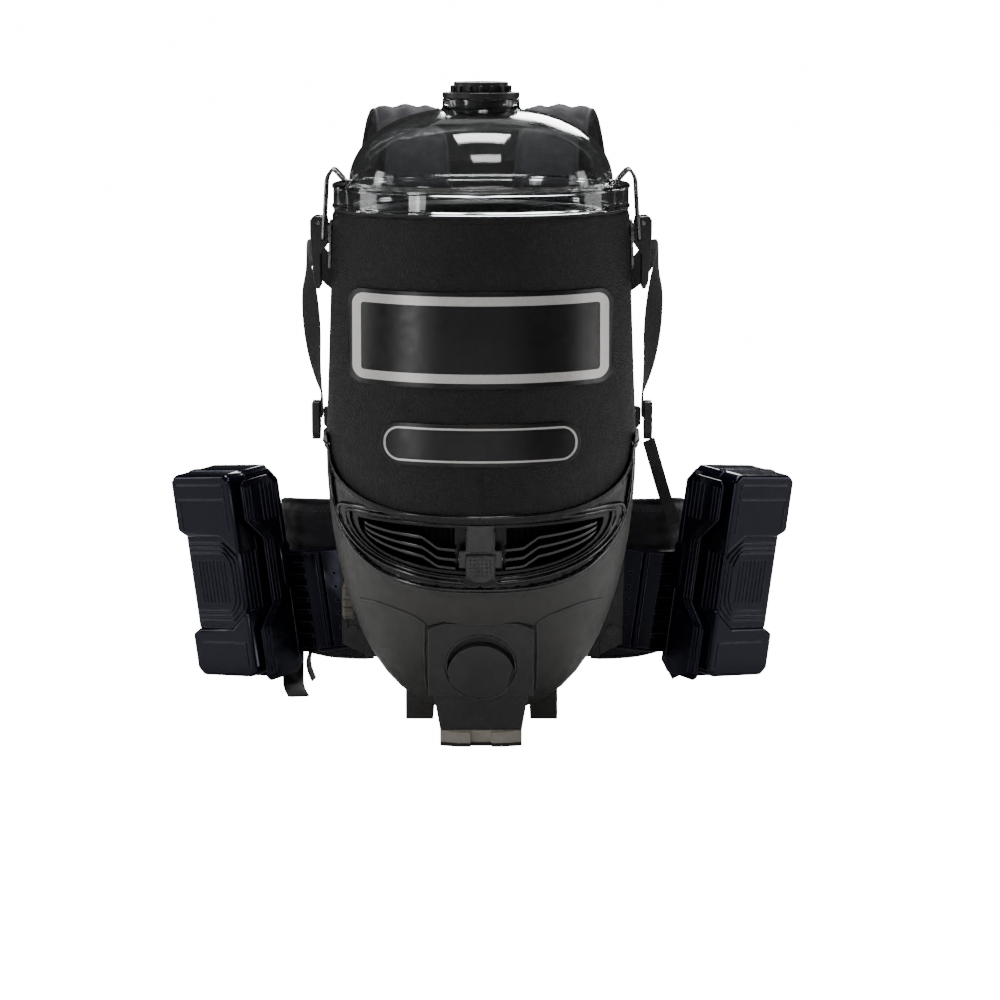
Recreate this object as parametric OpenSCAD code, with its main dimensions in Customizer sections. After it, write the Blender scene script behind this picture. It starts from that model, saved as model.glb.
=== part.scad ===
// Backpack vacuum cleaner: a clear-lidded canister on a padded harness, with a battery pod at each hip.
// +Z is up, the wearer stands on the +Y side, and the origin is on the floor under the middle of the machine.

/* [Canister] */
// Radius of the canister at its top rim
rim_r = 131; // [126:0.5:136]
// Radius of the canister at its widest
belly_r = 138; // [134:0.5:142]
// Height of the top rim
rim_z = 462; // [440:1:490]
// Height of the widest point
belly_z = 260; // [250:1:270]
// Height of the bowl's lowest point
bowl_z = 16; // [14:1:20]
// Thickness of the moulded walls
wall = 3; // [2.4:0.1:3.6]
// Clearance between pieces that sit together
gap = 0.4; // [0.3:0.05:0.6]
// Drop of the shell's lower edge from its sides to its front
shell_dip = 57.5; // [52:0.5:62]
// Drop of the bowl's rim line from its sides to its front
bowl_dip = 114.5; // [110:0.5:118]

/* [Lid] */
// Height of the rim gasket
gasket_h = 6; // [5:0.5:8]
// Height of the lid's outer band
band_h = 20.5; // [16:0.5:22]
// Distance of the dome's foot inside the rim
dome_inset = 14.5; // [13:0.5:18]
// Height of the dome above the band
dome_h = 66; // [56:1:80]
// Radius of the hose bore in the swivel cuff
hose_r = 19; // [16:0.5:21]
// Height of the cuff's socket above its flange
cuff_h = 14; // [10:1:24]

/* [Toggle latches] */
// Distance of the lever pivot outside the rim
lever_out = 12; // [12:0.5:14]
// Depth of the lever pivot below the rim
lever_down = 8; // [8:0.5:10]
// Length of the lever below its pivot
lever_l = 58; // [50:1:66]
// Width of the lever
lever_w = 27; // [26:1:32]
// Thickness of the wire bail
wire_d = 3; // [2.4:0.1:3]

/* [Exhaust] */
// Distance of the louvred door's ends inside the widest radius
vent_margin = 24; // [21:1:28]
// Height of the louvred door at the middle
vent_h = 45; // [42:1:48]
// Number of louvre blades
blade_count = 3; // [2:1:4]
// Thickness of a louvre blade
blade_t = 2.6; // [2:0.1:3]
// Downward tilt of the blades
blade_tilt = 10; // [6:1:14]

/* [Service panel] */
// Width of the panel
panel_w = 92; // [86:1:96]
// Backward slope of the panel
panel_slope = 16; // [14:1:18]
// Radius of the round swivel cap
cap_r = 31; // [27:0.5:33]
// Thickness of the swivel cap
cap_t = 13; // [11:1:15]
// Depth of the cable mouth in the cap
mouth_d = 9; // [7:0.5:10]

/* [Base] */
// Height of the front foot
foot_h = 17; // [16.5:0.5:19]
// Half width of the front foot
foot_half_w = 36; // [32:1:40]
// Thickness of the rubber sole
sole_t = 3; // [2:0.5:4]
// Radius of the side knob
knob_r = 17.5; // [15:0.5:20]

/* [Motor] */
// Radius of the fan housing
fan_r = 64; // [60:1:66]
// Height of the fan housing
fan_h = 45; // [40:1:48]
// Radius of the motor can
motor_r = 45; // [40:1:48]
// Radius of the motor shaft
shaft_r = 4; // [3:0.5:5]
// Number of fan vanes
vane_count = 9; // [7:1:11]

/* [Battery pods] */
// Width of a battery pack
pack_w = 78; // [74:1:82]
// Height of a battery pack
pack_h = 194; // [184:1:204]
// Thickness of a battery pack
pack_t = 56; // [50:1:60]
// Thickness of the dock's walls
dock_wall = 3; // [2.4:0.1:3.4]
// Depth of the dock's side walls
dock_d = 28; // [26:1:32]
// Outward turn of a pod
pod_yaw = 40; // [37:1:43]
// Outward lean of a pod
pod_lean = 7.5; // [6:0.5:9]
// Distance of a pod from the middle plane
pod_x = 216; // [212:1:222]
// Height of a pod's middle
pod_z = 115; // [112:1:120]

/* [Harness] */
// Thickness of the back frame
frame_t = 7; // [6:0.5:7]
// Thickness of the back and lumbar pads
pad_t = 16; // [12:1:18]
// Width of the shoulder pads
strap_pad_w = 60; // [52:1:66]
// Width of the webbing
web_w = 25; // [20:1:30]
// Thickness of the webbing
web_t = 1.8; // [1.4:0.1:2]
// Height of the hip pads
hip_pad_h = 150; // [140:1:156]
// Distance from the back frame to the front of the waist belt
belt_reach = 238; // [228:1:248]

/* [Hidden] */
$fn = 96;

// Exponents of the curves that shape the canister, its split lines and the dome
BOWL_POWER = 0.74;
SHELL_TAPER = 1.15;
SHELL_POWER = 2.8;
LINE_POWER = 3;
VENT_POWER = 2.2;
DOME_POWER = 0.77;
// How far split lines are drawn past the canister
SIDE = 20;
// Running clearance of a pin or shaft in its hole
RUN = 0.05;

// Lid and latches
lid_z = rim_z + gasket_h;
band_top = lid_z + band_h;
dome_top = band_top + dome_h;
band_r = rim_r + 0.5;
dome_r = rim_r - dome_inset;
cuff_r = hose_r + 9;
lever_x = rim_r + lever_out;
lever_z = rim_z - lever_down;
bail_x = lever_x - 4;
bail_z = lever_z - 14;
ear_y = 10;
flange_t = 2.5;
pin_r = 2;

// Exhaust door: the height of its middle and the way its edges rise towards the sides
shell_low = rim_z_front();
vent_top = shell_low - 7;
vent_rise = 3;
vent_half_w = belly_r - vent_margin;
function rim_z_front() = belly_z + 9 - shell_dip;

// Service panel: distance of its face from the canister's axis at the cap, and the cap's height
panel_y = 103;
cap_z = 74.7;
panel_top = 42;
panel_step = -29.5;
panel_low = -63.4;

// Motor stack, from the deck down
deck_z = 209.5;
fan_top = deck_z - 6;
fan_z = fan_top - fan_h;
can_h = 60;
can_z = fan_z - can_h;

// Harness planes behind the canister
frame_y = belly_r + 4;
frame_back = frame_y + frame_t;
bracket_t = 4;
bracket_y = frame_back + 0.2;
pad_y = bracket_y + bracket_t;
fold_x = 165;
seat = 0.3;
pod_y = bracket_y + (pod_x - fold_x) * tan(pod_yaw) - seat / cos(pod_yaw);
belt_front = frame_back + belt_reach;
buckle_t = 12;

// The machine is centred on the origin between the front of its oval plate and the back of its waist buckle
lip = 3;
badge_proud = 2;
oval_proud = 1.6;
front_edge = belly_r + oval_proud;
back_edge = belt_front + buckle_t / 2;
axis_y = (front_edge - back_edge) / 2;

// Finishes: each draws its children about the canister's axis
module place() translate([0, axis_y, 0]) children();
module grained_black() color("#2a2a2b") place() children();
module satin_black() color("#1a1a1a") place() children();
module satin_grey() color("#3a3838") place() children();
module olive_grey() color("#8b8677") place() children();
module gloss_navy() color("#14141c") place() children();
module rubber_black() color("#101010") place() children();
module clear_shell() color([0.8, 0.85, 0.88, 0.35]) place() children();
module steel() color("#b9bcc0") place() children();
module navy_fabric() color("#1f1e2a") place() children();
module black_webbing() color("#0d0d10") place() children();
module cream_cloth() color("#cfc9b8") place() children();

// Canister outline: a bowl curve below the widest point and a slight taper above it, moved inwards by inset
function bowl_point(a, inset) =
    [(belly_r - inset) * pow(max(cos(a), 0), BOWL_POWER), belly_z - (belly_z - bowl_z - inset) * sin(a)];
function shell_r(z) =
    rim_r + (belly_r - rim_r) * pow(max((rim_z - z) / (rim_z - belly_z), 0), SHELL_TAPER);
function bowl_r(z) =
    belly_r * pow(max(1 - pow((belly_z - z) / (belly_z - bowl_z), 2), 0), BOWL_POWER / 2);

module envelope(inset = 0) {
    bowl_steps = 14;
    shell_steps = 5;
    rotate_extrude()
        polygon(concat(
            [[0, bowl_z + inset]],
            [for (i = [1 : bowl_steps]) bowl_point(90 - 90 * i / bowl_steps, inset)],
            [for (i = [1 : shell_steps])
                let (z = belly_z + (rim_z - belly_z) * i / shell_steps) [shell_r(z) - inset, z]],
            [[0, rim_z]]
        ));
}

module skin(outer, inner) {
    difference() {
        envelope(outer);
        envelope(inner);
    }
}

// Split lines, seen from the front: each dips from the sides to the middle
function dip(x, half_w, drop, power) = drop * pow(max(1 - pow(abs(x) / half_w, power), 0), 1 / power);
function shell_line(x) = belly_z + 9 - dip(x, belly_r - 3, shell_dip, SHELL_POWER);
function bowl_line(x) = belly_z - dip(x, belly_r - 5, bowl_dip, LINE_POWER);
line_steps = 36;
function line_x(i) = (belly_r + lip) * sin(90 * i / (line_steps / 2) - 90);

// A prism through the canister between two heights above a split line
module shell_band(low, high) {
    front_prism()
        polygon(concat(
            [for (i = [0 : line_steps]) [line_x(i), shell_line(line_x(i)) + low]],
            [for (i = [line_steps : -1 : 0]) [line_x(i), shell_line(line_x(i)) + high]]
        ));
}

module bowl_band(low, high) {
    front_prism()
        polygon(concat(
            [for (i = [0 : line_steps]) [line_x(i), bowl_line(line_x(i)) + low]],
            [for (i = [line_steps : -1 : 0]) [line_x(i), bowl_line(line_x(i)) + high]]
        ));
}

module front_prism() {
    reach = belly_r + SIDE;
    translate([0, reach, 0])
        rotate([90, 0, 0])
            linear_extrude(2 * reach)
                children();
}

// Keeps the front half of what it cuts
module front_only() {
    intersection() {
        children();
        translate([-2 * belly_r, -2 * belly_r, 0])
            cube([4 * belly_r, 2 * belly_r, rim_z]);
    }
}

module tube(r, inner, h) {
    difference() {
        cylinder(r = r, h = h);
        translate([0, 0, -1])
            cylinder(r = inner, h = h + 2);
    }
}

module both_sides() {
    children();
    mirror([1, 0, 0])
        children();
}

// ---- Canister ----

land_h = 4;
land_r = rim_r - 25;

module canister_shell() {
    grained_black()
        difference() {
            union() {
                difference() {
                    skin(0, wall);
                    shell_band(-rim_z, 0);
                }
                translate([0, 0, rim_z - land_h])
                    tube(rim_r - 1, land_r, land_h);
            }
            screw_r = 1.2;
            for (side = [-1, 1], dz = [-22, -34])
                translate([side * (shell_r(lever_z + dz) + 3), 0, lever_z + dz])
                    rotate([0, -side * 90, 0])
                        cylinder(r = screw_r, h = wall + 6);
        }
}

// A plate that lies on the shell, with round corners
module shell_plate(half_w, low, high, corner, proud) {
    intersection() {
        skin(-proud, -0.1);
        rotate([90, 0, 0])
            linear_extrude(belly_r + SIDE)
                rounded_bar(half_w, low, high, corner);
    }
}

module rounded_bar(half_w, low, high, corner) {
    for (side = [-1, 1], z = [low + corner, high - corner])
        translate([side * (half_w - corner), z])
            circle(r = corner, $fn = 48);
    translate([-half_w + corner, low])
        square([2 * (half_w - corner), high - low]);
    if (high - low > 2 * corner + 1)
        translate([-half_w, low + corner])
            square([2 * half_w, high - low - 2 * corner]);
}

badge_low = 322;
badge_high = 404;
oval_low = 255;
oval_high = 292;

module badge_plate() {
    grained_black()
        shell_plate(115, badge_low, badge_high, 13, badge_proud);
}

module oval_plate() {
    grained_black()
        shell_plate(86, oval_low, oval_high, 17.5, oval_proud);
}

gasket_w = 9;

module rim_gasket() {
    rubber_black()
        translate([0, 0, rim_z])
            rotate_extrude()
                polygon([
                    [rim_r - 1 - gasket_w, 0], [rim_r - 1, 0], [rim_r - 1, 2], [rim_r - 2.4, 2.8],
                    [rim_r - 1, 3.6], [rim_r - 1, gasket_h - gap], [rim_r - 1 - gasket_w, gasket_h - gap]
                ]);
}

module bag_ring() {
    ring_r = rim_r - 1 - gasket_w - 1;
    satin_black()
        translate([0, 0, rim_z])
            rotate_extrude()
                polygon([
                    [land_r - 8, -18], [land_r - 3, -18], [land_r - 1, -2], [land_r - 1, 0.2], [ring_r, 0.2],
                    [ring_r, 3], [land_r, 5], [land_r - 4, 5], [land_r - 8, 2]
                ]);
}

// The cloth bag hangs inside its ring, with a shallow waist between its two bulges
bag_low = deck_z + 24;

module filter_bag() {
    bag_r = land_r - 8 - seat;
    cream_cloth()
        rotate_extrude()
            polygon([
                [0, bag_low], [bag_r - 45, bag_low + 2], [bag_r - 16, bag_low + 14], [bag_r - 3, bag_low + 42],
                [bag_r, bag_low + 80], [bag_r - 5, bag_low + 112], [bag_r - 1, bag_low + 150],
                [bag_r, rim_z - 12], [bag_r, rim_z - 6], [bag_r - 30, rim_z - 10], [0, rim_z - 14]
            ]);
}

// ---- Lid ----

function dome_point(a, inset) =
    [(dome_r - inset) * pow(max(cos(a), 0), DOME_POWER), band_top + (dome_h - inset) * sin(a)];

module dome_solid(inset) {
    steps = 14;
    rotate_extrude()
        polygon(concat(
            [[0, band_top - 1]],
            [[dome_r - inset, band_top - 1]],
            [for (i = [0 : steps - 1]) dome_point(90 * i / steps, inset)],
            [[0, dome_top - inset]]
        ));
}

neck_r = cuff_r + 6;
neck_h = 8;

module lid_dome() {
    clear_shell()
        difference() {
            union() {
                difference() {
                    dome_solid(0);
                    dome_solid(wall);
                }
                translate([0, 0, lid_z])
                    rotate_extrude()
                        polygon([
                            [dome_r - 4, 0], [band_r, 0], [band_r, 2], [band_r - 1.2, 3], [band_r - 1.2, band_h - 4],
                            [band_r, band_h - 3], [band_r, band_h - 1], [band_r - 1, band_h],
                            [dome_r - wall, band_h], [dome_r - wall, wall], [dome_r - 4, wall]
                        ]);
                translate([0, 0, dome_top - 2 * wall])
                    cylinder(r = neck_r, h = neck_h + 2 * wall);
            }
            translate([0, 0, dome_top - 2 * wall - 1])
                cylinder(r = cuff_r + RUN, h = neck_h + 2 * wall + 2);
        }
}

// The cuff turns in the lid's neck; a lip below and a flange above keep it there
module hose_cuff() {
    base = dome_top - 2 * wall - gap;
    flange_z = dome_top + neck_h + gap;
    rib_count = 16;
    satin_black()
        difference() {
            union() {
                translate([0, 0, base - wall])
                    cylinder(r = cuff_r + 3, h = wall);
                translate([0, 0, base - wall])
                    cylinder(r = cuff_r, h = flange_z - base + wall + 1);
                translate([0, 0, flange_z])
                    cylinder(r = neck_r, h = 5);
                translate([0, 0, flange_z])
                    cylinder(r = hose_r + 5, h = cuff_h);
                for (i = [0 : rib_count - 1])
                    rotate([0, 0, 360 * i / rib_count])
                        translate([hose_r + 3, -1.25, flange_z])
                            cube([5, 2.5, cuff_h - 3]);
            }
            translate([0, 0, base - wall - 1])
                cylinder(r = hose_r, h = 100);
        }
}

// ---- Toggle latches ----

// The bracket is drawn on the right, about the lever's pivot
module bracket_right() {
    plate_low = -40;
    function back(z) = shell_r(lever_z + z) - lever_x + 0.3;
    back_x = back(0);
    translate([lever_x, 0, lever_z])
        rotate([90, 0, 0])
            difference() {
                union() {
                    translate([0, 0, -ear_y])
                        linear_extrude(2 * ear_y)
                            polygon([
                                [back(2), 2], [back(2) + 2, 2], [back(-16) + 2.2, -16],
                                [back(plate_low) + 2.2, plate_low], [back(plate_low), plate_low],
                                [back(-26), -26], [back(-12), -12]
                            ]);
                    for (side = [-1, 1])
                        translate([0, 0, side * (ear_y - 1.5) - 1.5]) {
                            linear_extrude(3)
                                polygon([
                                    [back_x + 1, -20], [back_x + 1, -3], [-3, 3.4], [0, 4.5],
                                    [4.3, 1], [3.2, -3.2]
                                ]);
                            cylinder(r = 4.5, h = 3, $fn = 48);
                        }
                }
                cylinder(r = pin_r + RUN, h = 4 * ear_y, center = true);
            }
}

module latch_pin_right() {
    translate([lever_x, 0, lever_z])
        rotate([90, 0, 0])
            cylinder(r = pin_r, h = lever_w, center = true, $fn = 48);
}

module latch_brackets() {
    steel()
        both_sides() {
            bracket_right();
            latch_pin_right();
        }
}

// Side view of the lever about its pivot: a channel that tapers to its thumb tip
function lever_outline() = [
    [-7, 5], [3, 6], [7.5, 3], [7.5, -10], [4.5, -lever_l + 6], [2, -lever_l], [-1, -lever_l],
    [-2, -lever_l + 3], [-1.5, -28], [-8, -19], [-8, 0]
];

module lever_right_shape() {
    inner = lever_w / 2 - flange_t;
    skin_t = 2.5;
    translate([lever_x, 0, lever_z])
        rotate([90, 0, 0])
            difference() {
                union() {
                    for (side = [-1, 1])
                        translate([0, 0, side * (lever_w / 2 - flange_t / 2) - flange_t / 2])
                            linear_extrude(flange_t)
                                polygon(lever_outline());
                    translate([0, 0, -inner - 0.5])
                        linear_extrude(2 * inner + 1)
                            polygon([
                                [7.5, 0], [7.5, -10], [4.5, -lever_l + 6], [2, -lever_l], [-1, -lever_l],
                                [2, -lever_l + 6], [7.5 - skin_t, -10], [7.5 - skin_t, 0]
                            ]);
                }
                cylinder(r = pin_r + RUN, h = 2 * lever_w, center = true, $fn = 48);
                translate([bail_x - lever_x, bail_z - lever_z, 0])
                    cylinder(r = wire_d / 2 + RUN, h = 2 * lever_w, center = true, $fn = 48);
            }
}

module lever_left() {
    satin_black()
        mirror([1, 0, 0])
            lever_right_shape();
}

module lever_right() {
    satin_black()
        lever_right_shape();
}

module rod(a, b, r) {
    d = b - a;
    translate(a)
        rotate([0, acos(d.z / norm(d)), atan2(d.y, d.x)])
            cylinder(r = r, h = norm(d), $fn = 24);
}

// The bail's wire runs up outside the rim, over it and down to its bar on the lid's band
module bail_right_shape() {
    leg_y = lever_w / 2 + 0.6 + wire_d / 2;
    r = wire_d / 2;
    foot = [bail_x, bail_z];
    side = [band_r + 4.2, band_top + 5];
    crest = [band_r - 1.5, band_top + 13.5];
    bar = [dome_r + 3.2, band_top + r + 0.6];
    path = [foot, side, crest, bar];
    for (s = [-1, 1]) {
        for (i = [0 : len(path) - 2])
            rod([path[i].x, s * leg_y, path[i].y], [path[i + 1].x, s * leg_y, path[i + 1].y], r);
        for (p = path)
            translate([p.x, s * leg_y, p.y])
                sphere(r = 1.02 * r, $fn = 32);
        rod([foot.x, s * leg_y, foot.y], [foot.x, s * (lever_w / 2 - flange_t + 0.3), foot.y], r);
    }
    rod([bar.x, -leg_y, bar.y], [bar.x, leg_y, bar.y], r);
}

module bail_left() {
    steel()
        mirror([1, 0, 0])
            bail_right_shape();
}

module bail_right() {
    steel()
        bail_right_shape();
}

// ---- Exhaust collar and its louvred door ----

// Upper and lower edge of the door's opening, grown by e; they meet in a point at each side
function vent_half(e) = vent_half_w + 2 * e;
function vent_upper(x, e) = vent_top + vent_rise * abs(x) / vent_half_w + e;
function vent_lower(x, e) =
    let (end = vent_upper(vent_half(e), e), low = vent_top - vent_h - e)
    end - (end - low) * pow(max(1 - pow(abs(x) / vent_half(e), VENT_POWER), 0), 1 / VENT_POWER);
vent_steps = 28;
function vent_x(i, e) = vent_half(e) * sin(180 * i / vent_steps - 90);

module vent_outline(e) {
    polygon(concat(
        [for (i = [0 : vent_steps]) [vent_x(i, e), vent_lower(vent_x(i, e), e)]],
        [for (i = [vent_steps - 1 : -1 : 1]) [vent_x(i, e), vent_upper(vent_x(i, e), e)]]
    ));
}

module vent_prism(e) {
    rotate([90, 0, 0])
        linear_extrude(belly_r + SIDE)
            vent_outline(e);
}

module exhaust_collar() {
    lip_h = 6;
    bead_h = 3;
    satin_black()
        difference() {
            union() {
                intersection() {
                    skin(-1.2, wall);
                    bowl_band(0, rim_z);
                    shell_band(-rim_z, -0.3);
                }
                intersection() {
                    skin(-lip, wall);
                    shell_band(-lip_h, -0.3);
                    bowl_band(0, rim_z);
                }
                intersection() {
                    skin(-lip, wall);
                    bowl_band(0, bead_h);
                    shell_band(-rim_z, -0.3);
                }
                intersection() {
                    skin(wall + gap, 2 * wall);
                    shell_band(-4, 5);
                }
                intersection() {
                    skin(wall - 0.6, 2 * wall);
                    shell_band(-4, -1);
                }
            }
            vent_prism(gap);
        }
}

door_depth = 16;
door_rim = 4;

module door_frame() {
    bay_half = 24;
    mullion_x = 67;
    mullion_w = 3;
    satin_black()
        intersection() {
            front_only()
                skin(0.8, door_depth);
            rotate([90, 0, 0])
                linear_extrude(belly_r + SIDE) {
                    difference() {
                        vent_outline(0);
                        vent_outline(-door_rim);
                    }
                    intersection() {
                        vent_outline(-0.2);
                        difference() {
                            translate([-bay_half, 0])
                                square([2 * bay_half, rim_z]);
                            latch_bay(0);
                        }
                    }
                    intersection() {
                        vent_outline(-0.2);
                        for (side = [-1, 1])
                            translate([side * mullion_x - mullion_w / 2, 0])
                                square([mullion_w, rim_z]);
                    }
                }
        }
}

// Outline of the latch, front view: an upper hook plate, two ears and a round thumb pad
latch_z = vent_top - 30;
latch_half_w = 19;

module latch_bay(shrink) {
    translate([0, latch_z]) {
        translate([-latch_half_w + shrink, -8 + shrink])
            square([2 * (latch_half_w - shrink), 16 - 2 * shrink]);
        translate([-13 + shrink, -10])
            square([2 * (13 - shrink), 35.4 - shrink]);
        translate([0, -5])
            circle(r = 13 - shrink, $fn = 48);
    }
}

// Each blade fans out from the door's end and slopes down outwards; the inner blades step down beside the latch
module louvre_blades() {
    inner_x = 24.2;
    outer_x = 65.3;
    split_x = 68.7;
    satin_black()
        intersection() {
            front_only()
                skin(2.5, door_depth - 1);
            rotate([90 + blade_tilt, 0, 0])
                linear_extrude(belly_r + SIDE)
                    both_sides_flat()
                        for (k = [1 : blade_count]) {
                            blade(k / (blade_count + 1), inner_x, outer_x, -2);
                            blade(k / (blade_count + 1), split_x, vent_half_w - 10, 0);
                        }
            rotate([90, 0, 0])
                linear_extrude(belly_r + SIDE)
                    vent_outline(-door_rim - 0.05);
        }
}

module both_sides_flat() {
    children();
    mirror([1, 0])
        children();
}

// A blade's outline in the plane that its slope is drawn from, so that its outer edge keeps to the fan
module blade(share, from_x, to_x, step) {
    steps = 8;
    function mid(x) = vent_upper(x, 0) * (1 - share) + vent_lower(x, 0) * share + step;
    function hollow(x) = belly_r - sqrt(belly_r * belly_r - x * x);
    function level(x) =
        (mid(x) - hollow(x) * tan(blade_tilt)) * cos(blade_tilt) + belly_r * sin(blade_tilt);
    function at(i) = from_x + (to_x - from_x) * i / steps;
    polygon(concat(
        [for (i = [0 : steps]) [at(i), level(at(i)) - blade_t / 2]],
        [for (i = [steps : -1 : 0]) [at(i), level(at(i)) + blade_t / 2]]
    ));
}

// Pleated exhaust filter, bent to the door's curve
module exhaust_filter() {
    pleats = 30;
    half_angle = 48;
    outer_r = bowl_r(vent_top - vent_h) - door_depth;
    fold = 8;
    paper = 1.6;
    function ridge(i, t) =
        let (a = -90 - half_angle + half_angle * i / pleats, r = outer_r - (i % 2) * fold - t)
        [r * cos(a), r * sin(a)];
    cream_cloth()
        intersection() {
            linear_extrude(rim_z)
                polygon(concat(
                    [for (i = [0 : 2 * pleats]) ridge(i, 0)],
                    [for (i = [2 * pleats : -1 : 0]) ridge(i, paper)]
                ));
            rotate([90, 0, 0])
                linear_extrude(belly_r)
                    vent_outline(-door_rim - 0.5);
        }
}

latch_face = 3.2;

module door_latch() {
    face_y = shell_r(belly_z) - latch_face;
    shrink = 0.5;
    satin_black()
        difference() {
            union() {
                translate([0, -face_y + 7, 0])
                    rotate([90, 0, 0])
                        linear_extrude(7)
                            latch_bay(shrink);
                translate([-12.5, -face_y - 3.5, latch_z - 17.5])
                    cube([25, 6, 22]);
                translate([-12.5, -face_y - 2, latch_z + 19])
                    cube([25, 4, 4]);
            }
            translate([0, -face_y + 4, latch_z])
                rotate([0, 90, 0])
                    cylinder(r = 1.5 + RUN, h = 60, center = true, $fn = 48);
            intersection() {
                envelope(-3.6);
                translate([-40, -2 * belly_r, 0])
                    cube([80, 2 * belly_r, latch_z - 9]);
            }
        }
}

module door_latch_pin() {
    face_y = shell_r(belly_z) - latch_face;
    steel()
        translate([0, -face_y + 4, latch_z])
            rotate([0, 90, 0])
                cylinder(r = 1.5, h = 2 * latch_half_w - 0.2, center = true, $fn = 48);
}

// ---- Lower bowl, service panel and feet ----

// The panel's own plane: X across, Y inwards and Z up its sloping face, about the swivel cap's centre
module on_panel() {
    translate([0, -panel_y, cap_z])
        rotate([panel_slope, 0, 0])
            children();
}

module panel_outline(e) {
    half = panel_w / 2 + e;
    low_half = 36 + e;
    chamfer = 14;
    polygon([
        [-half, panel_step], [-half, panel_top - 6], [-half + chamfer, panel_top + e],
        [half - chamfer, panel_top + e], [half, panel_top - 6], [half, panel_step],
        [low_half + 5, panel_step - 1], [low_half, panel_low - e], [-low_half, panel_low - e],
        [-low_half - 5, panel_step - 1]
    ]);
}

module panel_prism(e, front, back) {
    translate([0, back, 0])
        rotate([90, 0, 0])
            linear_extrude(back - front)
                panel_outline(e);
}

module lower_bowl() {
    post_r = 40;
    bead_h = 3;
    satin_grey()
        difference() {
            union() {
                intersection() {
                    skin(0, wall);
                    bowl_band(-rim_z, -0.3);
                }
                intersection() {
                    skin(-2, wall);
                    bowl_band(-bead_h - 1, -1);
                }
                intersection() {
                    skin(wall + gap, 2 * wall);
                    bowl_band(-3, 4);
                }
                intersection() {
                    skin(wall - 0.6, 2 * wall);
                    bowl_band(-3, -1);
                }
                difference() {
                    intersection() {
                        envelope(wall / 2);
                        cylinder(r = post_r, h = can_z - 12);
                    }
                    translate([0, 0, bowl_z + wall])
                        cylinder(r = post_r - wall, h = can_z);
                }
                intersection() {
                    envelope(wall / 2);
                    for (side = [-1, 1])
                        translate([side * 20, board_y + 2, board_z + 20])
                            rotate([-90, 0, 0])
                                cylinder(r = 4, h = 60, $fn = 32);
                }
            }
            on_panel()
                panel_prism(gap, -SIDE, 46);
            for (side = [-1, 1])
                translate([side * 30, -60, 0])
                    cylinder(r = 2, h = 60, $fn = 32);
        }
}

module service_panel() {
    depth = 40;
    recess = 2;
    satin_grey()
        on_panel()
            difference() {
                union() {
                    panel_prism(0, recess, depth);
                    intersection() {
                        panel_prism(0, 0, depth);
                        translate([-100, -1, panel_step])
                            cube([200, depth, 100]);
                    }
                    translate([0, 0, 0])
                        rotate([-90, 0, 0])
                            cylinder(r = cap_r + 3.2, h = cap_t + 1);
                }
                difference() {
                    panel_prism(-wall, recess + wall, depth + 1);
                    rotate([-90, 0, 0])
                        cylinder(r = cap_r + 3.2, h = cap_t + 1);
                }
                translate([0, -1, 0])
                    rotate([-90, 0, 0])
                        cylinder(r = cap_r + RUN, h = cap_t + 4);
            }
}

// The round cap turns in the panel; its crescent mouth lets a lead out
module swivel_cap() {
    rim = 1.6;
    satin_black()
        on_panel()
            difference() {
                union() {
                    rotate([-90, 0, 0])
                        cylinder(r = cap_r, h = cap_t + 2);
                    translate([0, cap_t + 1.3, 0])
                        rotate([-90, 0, 0])
                            cylinder(r = cap_r + 2, h = 2);
                }
                difference() {
                    translate([0, -1, 0])
                        rotate([-90, 0, 0])
                            cylinder(r = cap_r - rim, h = mouth_d + 1);
                    translate([0, -2, -mouth_d])
                        rotate([-90, 0, 0])
                            cylinder(r = cap_r - rim, h = mouth_d + 3);
                }
            }
}

foot_front = 88;
foot_l = 52;

module foot_block() {
    notch_w = 18;
    olive_grey()
        difference() {
            union() {
                intersection() {
                    translate([-foot_half_w, -foot_front, sole_t])
                        cube([2 * foot_half_w, foot_l, foot_h + 20]);
                    translate([0, 0, sole_t])
                        cylinder(r = foot_front + 2, h = 40);
                }
            }
            envelope(-gap);
            on_panel()
                panel_prism(gap, -SIDE, 60);
            translate([-notch_w / 2, -foot_front - 1, sole_t - 1])
                cube([notch_w, 5, 30]);
            translate([-100, -200, foot_h])
                cube([200, 200, 60]);
            for (side = [-1, 1])
                translate([side * 30, -60, 0])
                    cylinder(r = 2, h = 60, $fn = 32);
        }
}

module foot_sole() {
    notch_w = 18;
    rubber_black()
        difference() {
            intersection() {
                translate([-foot_half_w, -foot_front, 0])
                    cube([2 * foot_half_w, foot_l, sole_t]);
                cylinder(r = foot_front + 2, h = sole_t);
            }
            translate([-notch_w / 2, -foot_front - 1, -1])
                cube([notch_w, 5, sole_t + 2]);
        }
}

// The grey cradle wraps the back of the bowl, carries two skids and bolts to the back frame
module rear_cradle() {
    cradle_top = 130;
    start_y = 22;
    skid_x = 44;
    skid_w = 25;
    olive_grey()
        difference() {
            union() {
                intersection() {
                    skin(-wall - gap, -gap);
                    translate([-belly_r * 2, start_y, 8])
                        cube([belly_r * 4, belly_r * 2, cradle_top - 8]);
                }
                both_sides()
                    intersection() {
                        difference() {
                            translate([skid_x, start_y + 2, 0])
                                cube([skid_w, 50, 60]);
                            envelope(-gap);
                        }
                        translate([0, 0, 0])
                            cylinder(r = 92, h = 60);
                    }
                for (x = [-50, 50])
                    translate([x - 4, 60, 60])
                        difference() {
                            cube([8, frame_y - gap - 60, 60]);
                            translate([-x + 4, -60, -60])
                                envelope(-gap);
                        }
                translate([-knob_x, knob_y, knob_z])
                    rotate([0, 90, 0])
                        cylinder(r = 9, h = 40);
            }
            envelope(-gap);
            translate([-knob_x - 1, knob_y, knob_z])
                rotate([0, 90, 0])
                    cylinder(r = 4 + RUN, h = 20);
        }
}

knob_x = belly_r - 23;
knob_y = 62;
knob_z = 103;
knob_t = 12;

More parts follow.
